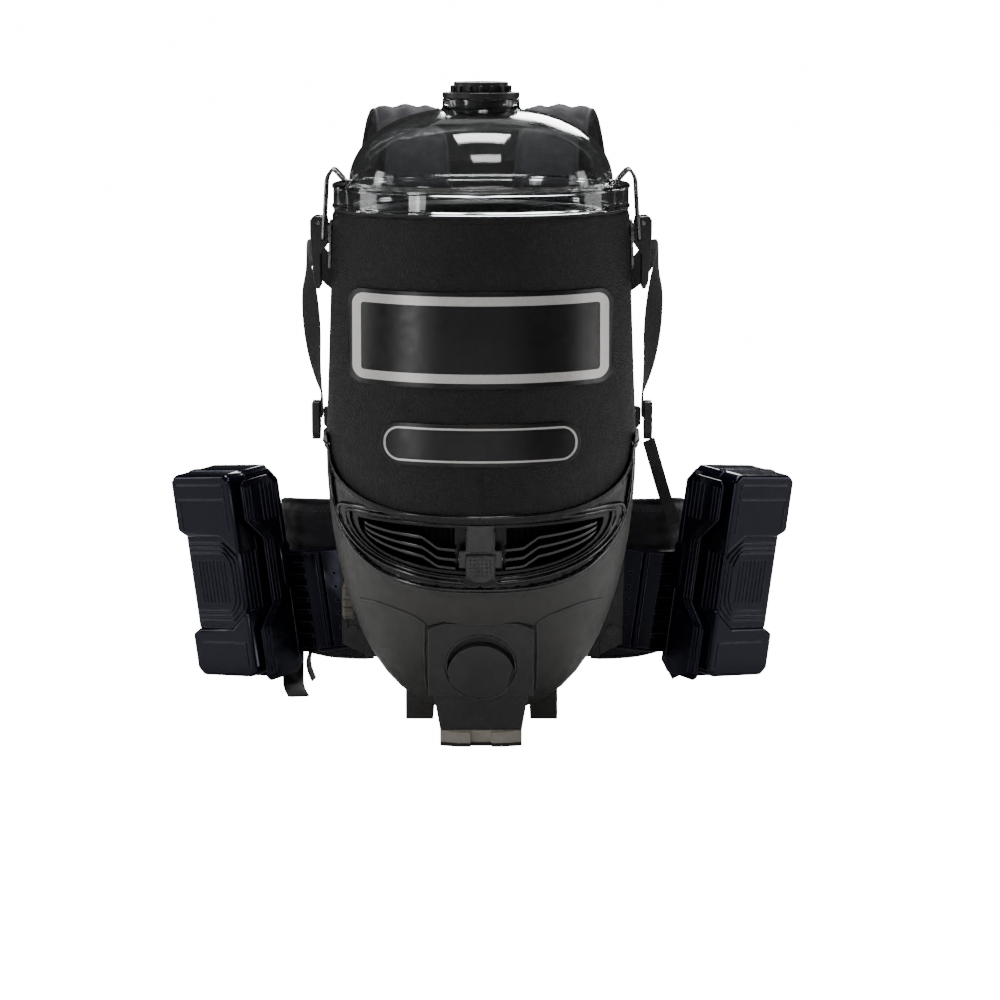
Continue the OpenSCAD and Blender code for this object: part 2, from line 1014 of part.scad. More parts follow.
module lock_knob() {
    lobes = 6;
    olive_grey()
        translate([-knob_x - gap, knob_y, knob_z])
            rotate([0, -90, 0]) {
                difference() {
                    cylinder(r = knob_r, h = knob_t);
                    for (i = [0 : lobes - 1])
                        rotate([0, 0, 360 * i / lobes])
                            translate([knob_r + 4, 0, -1])
                                cylinder(r = 7, h = knob_t + 2, $fn = 48);
                }
                translate([0, 0, -16])
                    cylinder(r = 4, h = 17);
            }
}

// ---- Inside ----

module motor_deck() {
    deck_r = bowl_r(deck_z) - 2 * wall - 2 * gap;
    tub_r = fan_r + 7;
    tub_low = 118;
    holes = 12;
    satin_black()
        difference() {
            union() {
                translate([0, 0, deck_z])
                    cylinder(r = deck_r, h = wall);
                translate([0, 0, tub_low])
                    tube(tub_r, tub_r - wall, deck_z - tub_low + 1);
            }
            translate([0, 0, deck_z - 1])
                cylinder(r = 12, h = 6);
            for (i = [0 : holes - 1])
                rotate([0, 0, 360 * i / holes])
                    translate([28, 0, deck_z - 1])
                        cylinder(r = 5, h = 6, $fn = 32);
            for (x = [-40, -14, 14, 40])
                translate([x - 8, -tub_r - 5, 144])
                    cube([16, 40, 44]);
        }
}

module pre_motor_filter() {
    color("#6f6f73")
        place()
            translate([0, 0, deck_z + wall + 0.2])
                cylinder(r = 92, h = 14);
}

module motor_seal() {
    rubber_black()
        translate([0, 0, fan_top + 0.2])
            tube(60, 46, deck_z - fan_top - 0.4);
}

module motor() {
    slots = 16;
    color("#8f9296")
        place()
            difference() {
                union() {
                    translate([0, 0, fan_z])
                        cylinder(r = fan_r, h = fan_h);
                    translate([0, 0, can_z])
                        cylinder(r = motor_r, h = can_h + 1);
                    translate([0, 0, can_z - 6])
                        cylinder(r = 14, h = 8);
                }
                translate([0, 0, fan_z + 8])
                    cylinder(r = fan_r - 2, h = fan_h - 10);
                translate([0, 0, fan_top - 5])
                    cylinder(r = 24, h = 10);
                translate([0, 0, can_z + 10])
                    cylinder(r = shaft_r + RUN, h = can_h + fan_h);
                for (i = [0 : slots - 1])
                    rotate([0, 0, 360 * i / slots])
                        translate([motor_r - 3, -2, can_z + 14])
                            cube([6, 4, 34]);
            }
}

module impeller() {
    hub_r = 12;
    disc_z = fan_z + 10;
    tip_r = fan_r - 7;
    vane_h = 20;
    steel() {
        translate([0, 0, can_z + 12])
            cylinder(r = shaft_r, h = disc_z - can_z + 12);
        translate([0, 0, disc_z]) {
            cylinder(r = tip_r, h = 2);
            cylinder(r = hub_r, h = vane_h);
            for (i = [0 : vane_count - 1])
                rotate([0, 0, 360 * i / vane_count])
                    translate([0, 0, 1])
                        intersection() {
                            translate([0, 30, 0])
                                tube(40, 38.4, vane_h - 0.6);
                            translate([4, -20, 0])
                                cube([60, 60, vane_h]);
                            cylinder(r = tip_r - 2, h = vane_h);
                        }
            translate([0, 0, vane_h - 0.5])
                tube(tip_r, 26, 2);
        }
    }
}

module motor_mount() {
    rubber_black()
        translate([0, 0, can_z - 11.8])
            difference() {
                cylinder(r = 38, h = 11.6);
                translate([0, 0, 5])
                    cylinder(r = 14.3, h = 8);
                translate([0, 0, -1])
                    cylinder(r = 8, h = 14);
            }
}

board_y = 74;
board_z = 58;

module control_board() {
    board_w = 64;
    board_h = 42;
    color("#1f5a35")
        place() {
            translate([-board_w / 2, board_y, board_z])
                cube([board_w, 1.6, board_h]);
            for (x = [-22, -6, 12])
                translate([x, board_y - 7, board_z + 6])
                    cube([9, 7.2, 12]);
            translate([18, board_y - 0.2, board_z + 30])
                rotate([90, 0, 0])
                    cylinder(r = 4, h = 12, $fn = 32);
        }
}

// ---- Soft pieces: one band swept along a smoothed path ----

function unit(v) = v / norm(v);
// Catmull-Rom curve through the points, n steps to each stretch
function smooth(p, n) =
    let (last = len(p) - 1)
    concat(
        [for (i = [0 : last - 1], k = [0 : n - 1])
            let (
                t = k / n,
                a = p[max(i - 1, 0)], b = p[i], c = p[i + 1], d = p[min(i + 2, last)]
            )
            0.5 * ((2 * b) + (c - a) * t + (2 * a - 5 * b + 4 * c - d) * t * t
                + (3 * b - a - 3 * c + d) * t * t * t)],
        [p[last]]
    );

// Rows hold a point, the direction of the band's width, and its width
module band(rows, t, edge = 1) {
    last = len(rows) - 1;
    section = edge < 1
        ? [[-1, -edge], [-0.9, -1], [0.9, -1], [1, -edge], [1, edge], [0.9, 1], [-0.9, 1], [-1, edge]]
        : [[-1, -1], [1, -1], [1, 1], [-1, 1]];
    n = len(section);
    points = [
        for (i = [0 : last])
            let (
                p = rows[i][0],
                along = unit(rows[min(i + 1, last)][0] - rows[max(i - 1, 0)][0]),
                up = unit(cross(along, rows[i][1])),
                across = unit(cross(up, along))
            )
            for (s = section) p + across * s.x * rows[i][2] / 2 + up * s.y * t / 2
    ];
    polyhedron(
        points = points,
        faces = concat(
            [[for (j = [0 : n - 1]) j]],
            [[for (j = [n - 1 : -1 : 0]) last * n + j]],
            [for (i = [0 : last - 1], j = [0 : n - 1])
                let (a = i * n + j, b = i * n + (j + 1) % n) each [[a, a + n, b + n], [a, b + n, b]]]
        ),
        convexity = 6
    );
}

// Band rows along a smoothed path with one width direction
function straight_rows(path, across, w, n = 4) = [for (p = smooth(path, n)) [p, across, w]];
// ---- Harness ----

lug_z = 260;
lug_x = 148;
shoulder_z = 452;

module back_frame() {
    slot_w = 90;
    satin_black()
        difference() {
            union() {
                translate([0, frame_back, 0])
                    rotate([90, 0, 0])
                        linear_extrude(frame_t)
                            polygon([
                                [-44, 2], [44, 2], [60, 26], [110, 36], [132, 46], [134, 140], [116, 160],
                                [104, lug_z - 23], [lug_x - 8, lug_z - 13], [lug_x, lug_z - 5],
                                [lug_x, lug_z + 11], [104, lug_z + 21], [98, 452], [84, 472],
                                [-84, 472], [-98, 452], [-104, lug_z + 21], [-lug_x, lug_z + 11],
                                [-lug_x, lug_z - 5], [-lug_x + 8, lug_z - 13], [-104, lug_z - 23],
                                [-116, 160], [-134, 140], [-132, 46], [-110, 36], [-60, 26]
                            ]);
                both_sides() {
                    translate([81, frame_y - 1, 34])
                        cube([30, frame_t + 1, 34]);
                    translate([88, frame_y - 2, 240])
                        cube([6, 3, 200]);
                }
                for (z = [330, 428])
                    translate([-60, 90, z])
                        difference() {
                            cube([120, frame_y - 89, 14]);
                            translate([60, -90, -z])
                                envelope(-gap);
                        }
                translate([-42, frame_y - 12, 0])
                    cube([84, frame_t + 12, 14]);
            }
            translate([0, frame_back + 1, 0])
                rotate([90, 0, 0])
                    linear_extrude(frame_t + 4) {
                        rounded_bar(slot_w / 2, 446, 464, 8.9);
                        for (side = [-1, 1]) {
                            for (z = [376, 398])
                                translate([side * 52, 0])
                                    rounded_bar(26, z, z + 14, 6.9);
                            translate([side * (lug_x - 8), 0])
                                rounded_bar(3, lug_z - 4, lug_z + 10, 2.9);
                        }
                    }
            screw_holes(2.3);
        }
}

screw_places = [[122, 60], [122, 120]];

module screw_holes(r) {
    both_sides()
        for (p = screw_places)
            translate([p[0], frame_y - 6, p[1]])
                rotate([-90, 0, 0])
                    cylinder(r = r, h = 40, $fn = 32);
}

module frame_screws() {
    head_r = 4.5;
    head_h = 3;
    shank_r = 2;
    steel()
        both_sides()
            for (p = screw_places)
                translate([p[0], frame_y - head_h, p[1]])
                    rotate([-90, 0, 0]) {
                        difference() {
                            cylinder(r = head_r, h = head_h, $fn = 48);
                            translate([0, 0, -1])
                                cylinder(r = 1.8, h = 3, $fn = 6);
                        }
                        cylinder(r = shank_r, h = head_h + frame_t + bracket_t + 0.4, $fn = 32);
                    }
}

module back_pad() {
    navy_fabric()
        translate([0, frame_back + 0.3 + pad_t, 0])
            rotate([90, 0, 0])
                linear_extrude(pad_t)
                    rounded_bar(84, 214, 438, 24);
}

module lumbar_pad() {
    navy_fabric()
        translate([0, pad_y + pad_t + seat, 0])
            rotate([90, 0, 0])
                linear_extrude(pad_t)
                    rounded_bar(104, hip_z - 65, hip_z + 81, 22);
}

shoulder_path = [
    for (p = [
        [60, 8.5, -12], [62, 14, 28], [66, 44, 68], [72, 94, 90], [80, 144, 78], [88, 178, 38], [94, 190, -12],
        [96, 186, -52]
    ])
    [p.x, frame_back + p.y, shoulder_z + p.z]
];

module shoulder_pad_shape() {
    band(straight_rows(shoulder_path, [1, 0, 0], strap_pad_w, 3), 13, 0.4);
}

module shoulder_pad_left() {
    navy_fabric()
        mirror([1, 0, 0])
            shoulder_pad_shape();
}

module shoulder_pad_right() {
    navy_fabric()
        shoulder_pad_shape();
}

buckle_x = lug_x + 7;

// From the lower end of the shoulder pad, round the wearer's side and down to the frame's lug
web_path = [
    for (p = [
        [96.3, 185.6, shoulder_z - 53.2], [97.2, 185, shoulder_z - 64], [106, 184, shoulder_z - 82],
        [124, 180, shoulder_z - 86], [146, 164, shoulder_z - 72], [161, 130, shoulder_z - 50],
        [167, 92, shoulder_z - 46], [165, 58, shoulder_z - 66], [158, 32, lug_z + 60], [151, 12, lug_z + 28],
        [buckle_x - 5.2, 3, lug_z + 14], [buckle_x - 5.2, 2, lug_z + 2]
    ])
    [p.x, frame_back + p.y, p.z]
];

// The webbing faces forwards at the chest and turns outwards by the wearer's side
function web_out(share) =
    let (a = 90 * max(0, 1 - pow(2 * share, 1.5)))
    [cos(a), sin(a), 0];

module shoulder_web_shape() {
    path = smooth(web_path, 3);
    last = len(path) - 1;
    function along(i) = path[min(i + 1, last)] - path[max(i - 1, 0)];
    band([for (i = [0 : last]) [path[i], unit(cross(along(i), web_out(i / last))), web_w]], web_t);
}

module shoulder_web_left() {
    black_webbing()
        mirror([1, 0, 0])
            shoulder_web_shape();
}

module shoulder_web_right() {
    black_webbing()
        shoulder_web_shape();
}

// Ladder buckle on the webbing beside the frame's lug
module web_buckle(side) {
    satin_black()
        translate([side * buckle_x, frame_back - 2, lug_z])
            difference() {
                union() {
                    translate([-4, -6, -14])
                        cube([8, 20, 30]);
                    translate([0, 4, -14])
                        rotate([0, 90, 0])
                            cylinder(r = 6, h = 8, center = true, $fn = 48);
                }
                for (z = [-8, 4])
                    translate([-6, -3, z])
                        cube([12, 14, 5]);
            }
}

module web_buckle_left() web_buckle(-1);
module web_buckle_right() web_buckle(1);

module sternum_strap() {
    z = shoulder_z - 4;
    y = frame_back + 190 + 8;
    black_webbing()
        both_sides()
            band(straight_rows([
                [100, y, z], [70, y + 2, z], [45, y + 4, z], [24, y + 4, z]
            ], [0, 0, 1], 20, 2), web_t);
}

module sternum_buckle() {
    z = shoulder_z - 4;
    y = frame_back + 190 + 12;
    satin_black()
        difference() {
            translate([-23.5, y - 5, z - 13])
                cube([47, 10, 26]);
            for (s = [-1, 1])
                translate([s * 23.5 - 4, y - 6, z - 6])
                    cube([8, 12, 12]);
        }
}

// Hip pads run from the lumbar pad round the wearer's hips
hip_z = 105;

hip_pad_t = 14;
hip_path = [
    for (p = [[104.4, 0.1], [126, 0.7], [148, 6], [172, 26], [187, 58], [194, 97], [192, 139], [184, 161]])
    [p.x, pad_y + hip_pad_t / 2 + seat + p.y, hip_z]
];

module hip_pad_shape() {
    path = smooth(hip_path, 3);
    last = len(path) - 1;
    taper = 62;
    band([for (i = [0 : last]) [path[i], [0, 0, 1], hip_pad_h - taper * pow(i / last, 2)]], hip_pad_t, 0.4);
}

module hip_pad_left() {
    navy_fabric()
        mirror([1, 0, 0])
            hip_pad_shape();
}

module hip_pad_right() {
    navy_fabric()
        hip_pad_shape();
}

module waist_web() {
    black_webbing()
        both_sides()
            band(straight_rows([
                [183.7, frame_back + 173.4, hip_z], [168, frame_back + 200, hip_z], [132, frame_back + 222, hip_z],
                [84, belt_front - 3, hip_z], [52, belt_front, hip_z], [24.3, belt_front, hip_z]
            ], [0, 0, 1], 38, 3), web_t);
}

module waist_buckle() {
    half = 30;
    satin_black()
        translate([0, belt_front, hip_z])
            difference() {
                union() {
                    translate([-half, -buckle_t / 2, -25])
                        cube([2 * half, buckle_t, 50]);
                    for (s = [-1, 1])
                        translate([0, 0, s * 25])
                            rotate([90, 0, 0])
                                cylinder(r = 8, h = buckle_t, center = true, $fn = 48);
                }
                for (s = [-1, 1])
                    translate([s * half - 6, -buckle_t, -21])
                        cube([12, 2 * buckle_t, 42]);
            }
}

// Loose ends of the webbing: two hang below the left pod, one below the right and one beside the right lug
module strap_tails() {
    floor_z = web_t / 2 + 0.5;
    // Rows of a tail that lies on the floor where it reaches it
    function laid(path, across, w) =
        [for (p = smooth(path, 3)) [[p.x, p.y, max(p.z, floor_z)], across, w]];
    black_webbing() {
        band(laid([
            [-181, frame_back + 42, 36], [-181, frame_back + 40, 24], [-181, frame_back + 33, 10],
            [-180, frame_back + 20, floor_z], [-177, frame_back - 4, floor_z], [-172, frame_back - 32, floor_z]
        ], [1, 0.1, 0], 20), web_t);
        band(laid([
            [-163, frame_back + 29, 33.8], [-166, frame_back + 30, 24], [-165, frame_back + 31, 14],
            [-161, frame_back + 31, 4]
        ], [0.2, 1, 0], 16), web_t);
        band(laid([
            [181, frame_back + 42, 36.3], [182, frame_back + 41.6, 27], [185, frame_back + 40, 17],
            [190, frame_back + 38, 7]
        ], [1, 0.3, 0], 20), web_t);
        band(straight_rows([
            [156, frame_back + 4, lug_z - 21], [163, frame_back + 6, lug_z - 45],
            [172, frame_back + 8, lug_z - 75], [181, frame_back + 8, lug_z - 101]
        ], [1, 0.7, 0], 14, 3), web_t);
    }
}

// ---- Hip pods ----

// The pod's own frame, right side: X along the pack's width, -Y outwards and Z up
module lean() {
    translate([pod_x, pod_y, pod_z])
        rotate([0, pod_lean, 0])
            children();
}

module on_pod() {
    lean()
        rotate([0, 0, pod_yaw])
            children();
}

dock_half_w = pack_w / 2 + 0.6;
dock_half_h = pack_h / 2 + 0.6;

module hip_bracket_shape() {
    low = -86;
    high = 13;
    bend = fold_x - pod_x;
    start_x = 112 - pod_x;
    front = bracket_y - pod_y;
    reach = 78;
    ridge_count = 7;
    lean() {
        difference() {
            translate([0, 0, low])
                linear_extrude(high - low)
                    polygon([
                        [start_x, front], [bend, front],
                        [bend + reach * cos(pod_yaw), front + reach * sin(pod_yaw)],
                        [bend + reach * cos(pod_yaw) - bracket_t * sin(pod_yaw),
                            front + reach * sin(pod_yaw) + bracket_t * cos(pod_yaw)],
                        [bend - bracket_t * tan(pod_yaw / 2), front + bracket_t], [start_x, front + bracket_t]
                    ]);
            rotate([0, -pod_lean, 0])
                translate([-pod_x, -pod_y, -pod_z])
                    for (p = screw_places)
                        translate([p[0], frame_y, p[1]])
                            rotate([-90, 0, 0])
                                cylinder(r = 2.3, h = 40, $fn = 32);
        }
        for (i = [0 : ridge_count - 1])
            translate([bend, front, low + 16 + 11.5 * i])
                rotate([0, 0, pod_yaw])
                    translate([3, -1.2, 0])
                        cube([19, 1.4, 3]);
        for (i = [0 : 4])
            translate([bend - 18, front + 0.2, low + 22 + 13 * i])
                rotate([90, 0, 0])
                    cylinder(r = 2.2, h = 1.6, $fn = 24);
    }
}

module hip_bracket_left() {
    gloss_navy()
        mirror([1, 0, 0])
            hip_bracket_shape();
}

module hip_bracket_right() {
    gloss_navy()
        hip_bracket_shape();
}

// Half a hexagon, for the finger grip and the notch that leaves it free
function half_hex(depth, half_h) = [[0, -half_h], [depth, -half_h * 0.62], [depth, half_h * 0.62], [0, half_h]];
grip_half_h = 46;
grip_depth = 18;
release_y = -6;
release_half = 13;
release_w = 5;

module dock_shape() {
    outer_w = dock_half_w + dock_wall;
    outer_h = dock_half_h + dock_wall;
    cheek = 5.4;
    on_pod()
        difference() {
            union() {
                translate([-outer_w, -dock_d, -outer_h])
                    cube([2 * outer_w, dock_d, 2 * outer_h]);
                translate([-outer_w - cheek + dock_wall, -12, -22])
                    cube([cheek, 12, 44]);
                for (i = [0 : 6])
                    translate([-outer_w - 1.5, -dock_d + 4, 50 + 6 * i])
                        cube([2, dock_d - 8, 2.4]);
                translate([-12, -6, outer_h - 1])
                    cube([24, 6, 7]);
            }
            translate([-dock_half_w, -dock_d - 1, -dock_half_h])
                cube([2 * dock_half_w, dock_d - dock_wall + 1, 2 * dock_half_h]);
            for (s = [-1, 1])
                translate([s * (dock_half_w - 1), -dock_d - 0.01, 0])
                    rotate([0, 0, s > 0 ? 0 : 180])
                        translate([0, s > 0 ? 0 : -grip_depth, 0])
                            notch_cut();
            translate([-outer_w - cheek, release_y - release_w / 2 - 0.2, -release_half - 0.2])
                cube([cheek + dock_wall + 4, release_w + 0.4, 2 * release_half + 0.4]);
        }
}

module notch_cut() {
    rotate([90, 0, 90])
        linear_extrude(dock_wall + 6)
            polygon(half_hex(grip_depth, grip_half_h));
}

module dock_left() {
    gloss_navy() {
        mirror([1, 0, 0])
            dock_shape();
        mirror([1, 0, 0])
            on_pod()
                switch_block();
    }
}

module dock_right() {
    gloss_navy()
        dock_shape();
}

switch_out = 10;
button_r = 7;

// Switch housing on the dock's far side
module switch_block() {
    outer_w = dock_half_w + dock_wall;
    difference() {
        translate([outer_w - 0.5, -24, 56])
            cube([switch_out + 0.5, 22, 30]);
        translate([outer_w + 3, -13, 71])
            rotate([0, 90, 0])
                cylinder(r = button_r + 0.3, h = switch_out);
    }
}

module power_button() {
    outer_w = dock_half_w + dock_wall;
    travel = 2.5;
    color("#b23a2a")
        place()
            mirror([1, 0, 0])
                on_pod()
                    translate([outer_w + 3 + travel, -13, 71])
                        rotate([0, 90, 0])
                            cylinder(r = button_r, h = 7, $fn = 64);
}

module release_shape() {
    outer = dock_half_w + dock_wall + 5.4 - dock_wall;
    on_pod() {
        translate([-outer - 2.5, release_y - release_w / 2, -release_half])
            cube([5.5, release_w, 2 * release_half]);
    }
}

module release_left() {
    satin_black()
        mirror([1, 0, 0])
            release_shape();
}

module release_right() {
    satin_black()
        release_shape();
}

// Battery case, seen from outside: two wide blocks and a narrower grip between them
module pack_outline(inset) {
    w = pack_w / 2 - inset;
    h = pack_h / 2 - inset;
    chamfer = 5;
    waist = 5;
    right = [
        [w - chamfer, -h], [w, -h + chamfer], [w, -50], [w - waist, -43], [w - waist, 30], [w, 37],
        [w, h - chamfer], [w - chamfer, h]
    ];
    polygon(concat(right, [for (i = [len(right) - 1 : -1 : 0]) [-right[i].x, right[i].y]]));
}

module pack_layer(inset, from_y, to_y) {
    translate([0, -from_y, 0])
        rotate([90, 0, 0])
            linear_extrude(to_y - from_y)
                pack_outline(inset);
}

module battery_shape() {
    base = dock_wall + 0.4;
    face = base + pack_t;
    bevel = 4;
    on_pod() {
        difference() {
            union() {
                pack_layer(0.2, base, face - bevel);
                pack_layer(bevel / 2, base, face - bevel / 2);
                pack_layer(bevel, base, face);
            }
            for (s = [-1, 1])
                translate([s * (pack_w / 2 + 1), -face - 0.01, -6])
                    rotate([0, 0, s > 0 ? 180 : 0])
                        translate([0, s > 0 ? -3 : 0, 0])
                            rotate([90, 0, 0])
                                translate([0, 0, -3])
                                    linear_extrude(3)
                                        polygon(half_hex(20, 40));
        }
        for (s = [-1, 1], i = [0 : 2])
            translate([s * (pack_w / 2 - 5.6 + 0.2) - 0.8, -dock_d - 2 - 3.5 * i, -40])
                cube([1.6, 1.4, 66]);
        for (z = [40, -88])
            translate([-22, -face - 1, z])
                difference() {
                    cube([46, 1.2, 46]);
                    translate([3, -1, 3])
                        cube([40, 4, 40]);
                }
    }
}

module battery_left() {
    gloss_navy()
        mirror([1, 0, 0])
            battery_shape();
}

module battery_right() {
    gloss_navy()
        battery_shape();
}

canister_shell();
badge_plate();
oval_plate();
rim_gasket();
exhaust_collar();
door_frame();
louvre_blades();
exhaust_filter();
door_latch();
door_latch_pin();
lower_bowl();
service_panel();
swivel_cap();
foot_block();
foot_sole();
rear_cradle();
lock_knob();
motor_deck();
pre_motor_filter();
motor_seal();
motor();
impeller();
motor_mount();
control_board();
bag_ring();
filter_bag();
lid_dome();
hose_cuff();
latch_brackets();
lever_left();
lever_right();
bail_left();
bail_right();
back_frame();
back_pad();
lumbar_pad();
shoulder_pad_left();
shoulder_pad_right();
shoulder_web_left();
shoulder_web_right();
web_buckle_left();
web_buckle_right();
sternum_strap();
sternum_buckle();
hip_pad_left();
hip_pad_right();
waist_web();
waist_buckle();
strap_tails();
hip_bracket_left();
hip_bracket_right();
dock_left();
dock_right();
battery_left();
battery_right();
release_left();
release_right();
power_button();
frame_screws();
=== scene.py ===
import math

import bpy
from mathutils import Matrix, Vector


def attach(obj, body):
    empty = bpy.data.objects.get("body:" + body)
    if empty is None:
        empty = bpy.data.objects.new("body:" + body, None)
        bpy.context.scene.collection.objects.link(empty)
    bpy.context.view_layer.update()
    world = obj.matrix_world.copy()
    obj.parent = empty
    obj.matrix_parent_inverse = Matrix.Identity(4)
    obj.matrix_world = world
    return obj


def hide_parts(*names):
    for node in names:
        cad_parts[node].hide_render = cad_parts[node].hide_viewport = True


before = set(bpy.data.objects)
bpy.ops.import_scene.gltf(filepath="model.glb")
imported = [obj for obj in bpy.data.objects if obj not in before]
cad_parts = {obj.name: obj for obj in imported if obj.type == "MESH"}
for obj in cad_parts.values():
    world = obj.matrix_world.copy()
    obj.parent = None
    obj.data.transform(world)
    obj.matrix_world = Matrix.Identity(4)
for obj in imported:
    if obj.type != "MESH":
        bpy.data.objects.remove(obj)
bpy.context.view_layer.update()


# ---- Studio ----
# A plain floor and surround, pure white to the camera though they light the machine only faintly, and large
# soft lamps above, behind, in front and to both sides. The camera stands far behind the wearer's place.
# Every size is in metres, with z up and the wearer at positive y.

canister_y = -0.1267
floor_size = 30.0
floor_tone = (0.62, 0.62, 0.62)
floor_glow = 16.0
surround_seen = 16.0
surround_light = 0.03
camera_reach = 3.0
camera_rise = math.radians(8.84)
camera_aim = Vector((0.0167, canister_y, 0.2056))
camera_lens = 120.8


def new_material(name):
    """An empty procedural material, its node lists and its shader."""
    material = bpy.data.materials.new(name)
    material.use_nodes = True
    tree = material.node_tree
    return material, tree.nodes, tree.links, tree.nodes["Principled BSDF"]


def fill(node, **sockets):
    """Sets a node's sockets by name, with _ for each space."""
    for socket, value in sockets.items():
        node.inputs[socket.replace("_", " ")].default_value = value
    return node


def deselect():
    if bpy.context.mode != "OBJECT":
        bpy.ops.object.mode_set(mode="OBJECT")
    bpy.ops.object.select_all(action="DESELECT")


def soft_lamp(name, place, target, size, power):
    lamp = bpy.data.lights.new(name, "AREA")
    lamp.shape = "RECTANGLE"
    lamp.size, lamp.size_y = size
    lamp.energy = power
    holder = bpy.data.objects.new(name, lamp)
    bpy.context.scene.collection.objects.link(holder)
    holder.location = place
    holder.rotation_euler = (Vector(target) - Vector(place)).to_track_quat("-Z", "Y").to_euler()


deselect()
bpy.ops.mesh.primitive_plane_add(size=floor_size, location=(0, 0, -0.0005))
floor = bpy.context.active_object
floor.name = "studio_floor"
bpy.ops.object.transform_apply(location=True, rotation=True, scale=True)
floor_paint, nodes, links, shader = new_material("studio_floor_paint")
fill(shader, Base_Color=(*floor_tone, 1), Roughness=0.9, Emission_Color=(1, 1, 1, 1))
ray = nodes.new("ShaderNodeLightPath")
glow = nodes.new("ShaderNodeMath")
glow.operation = "MULTIPLY"
glow.inputs[1].default_value = floor_glow
links.new(ray.outputs["Is Camera Ray"], glow.inputs[0])
links.new(glow.outputs["Value"], shader.inputs["Emission Strength"])
floor.data.materials.append(floor_paint)

surround = bpy.data.worlds.new("studio_surround")
surround.use_nodes = True
nodes, links = surround.node_tree.nodes, surround.node_tree.links
background = nodes["Background"]
fill(background, Color=(1, 1, 1, 1))
ray = nodes.new("ShaderNodeLightPath")
brightness = fill(nodes.new("ShaderNodeMapRange"), To_Min=surround_light, To_Max=surround_seen)
links.new(ray.outputs["Is Camera Ray"], brightness.inputs["Value"])
links.new(brightness.outputs["Result"], background.inputs["Strength"])
bpy.context.scene.world = surround

lamps = [
    ("lamp_above", (0.1, -0.9, 1.8), (0.0, -0.2, 0.3), (0.5, 0.35), 7),
    ("lamp_top", (0.0, 0.1, 1.9), (0.0, -0.1, 0.3), (0.6, 0.4), 27),
    ("lamp_left", (-1.5, 0.1, 0.5), (0.0, -0.1, 0.25), (0.25, 0.9), 3.4),
    ("lamp_right", (1.5, 0.1, 0.5), (0.0, -0.1, 0.25), (0.25, 0.9), 2.4),
    ("lamp_behind", (0.3, 1.9, 1.4), (0.0, 0.1, 0.25), (1.0, 0.6), 36),
    ("lamp_front", (0.0, -1.6, 0.06), (0.0, -0.25, 0.12), (1.6, 0.1), 2.4),
    ("lamp_side", (-1.3, -1.2, 0.35), (0.0, -0.2, 0.12), (0.25, 0.4), 4.5),
    ("lamp_low", (1.5, -0.25, 0.12), (0.0, -0.12, 0.12), (0.3, 0.2), 2)
]
for name, place, target, size, power in lamps:
    soft_lamp(name, place, target, size, power)

camera_data = bpy.data.cameras.new("studio_camera")
camera_data.lens = camera_lens
camera = bpy.data.objects.new("studio_camera", camera_data)
bpy.context.scene.collection.objects.link(camera)
camera.location = camera_aim + camera_reach * Vector((0, -math.cos(camera_rise), math.sin(camera_rise)))
camera.rotation_euler = (camera_aim - camera.location).to_track_quat("-Z", "Y").to_euler()
bpy.context.scene.camera = camera


# ---- Canister shell ----
# One blow-moulded barrel of charcoal plastic, with a fine leather-like grain and a parting line down its
# front. It drops into the exhaust collar below and carries the rim gasket above.

rim_r = 0.131
rim_z = 0.462
belly_r = 0.138
belly_z = 0.260
shell_taper = 1.15
parting_w = 0.0009
parting_low = 0.2135
parting_proud = 0.00016
wear_and_highlight_reach = 0.0008


def object_noise(nodes, links, scale, detail=2.0, roughness=0.5):
    """A noise pattern fixed to the piece's own place."""
    place = nodes.new("ShaderNodeTexCoord")
    noise = fill(nodes.new("ShaderNodeTexNoise"), Scale=scale, Detail=detail, Roughness=roughness)
    links.new(place.outputs["Object"], noise.inputs["Vector"])
    return noise


def spread(nodes, links, source, low, high):
    """A pattern's values spread between two numbers."""
    span = fill(nodes.new("ShaderNodeMapRange"), From_Min=0.3, From_Max=0.7, To_Min=low, To_Max=high)
    links.new(source, span.inputs["Value"])
    return span.outputs["Result"]


def tone_pair(nodes, links, source, first, second):
    """Two tones of one colour mixed by a pattern."""
    ramp = nodes.new("ShaderNodeValToRGB")
    for stop, position, tone in zip(ramp.color_ramp.elements, (0.3, 0.7), (first, second)):
        stop.position = position
        stop.color = (*tone, 1)
    links.new(source, ramp.inputs["Fac"])
    return ramp.outputs["Color"]


def bumped(nodes, links, shader, height, distance):
    bump = fill(nodes.new("ShaderNodeBump"), Strength=1.0, Distance=distance)
    links.new(height, bump.inputs["Height"])
    links.new(bump.outputs["Normal"], shader.inputs["Normal"])


def edge_wear_and_highlight(nodes, links):
    """Near 1 along edges and thin raised lines, for wear and for painted highlights, and near 0 on flat
    faces.
    """
    edge = fill(nodes.new("ShaderNodeBevel"), Radius=wear_and_highlight_reach)
    edge.samples = 4
    flat = nodes.new("ShaderNodeNewGeometry")
    turn = nodes.new("ShaderNodeVectorMath")
    turn.operation = "DOT_PRODUCT"
    links.new(edge.outputs["Normal"], turn.inputs[0])
    links.new(flat.outputs["Normal"], turn.inputs[1])
    span = fill(nodes.new("ShaderNodeMapRange"), From_Min=0.995, From_Max=0.86)
    links.new(turn.outputs["Value"], span.inputs["Value"])
    return span.outputs["Result"]


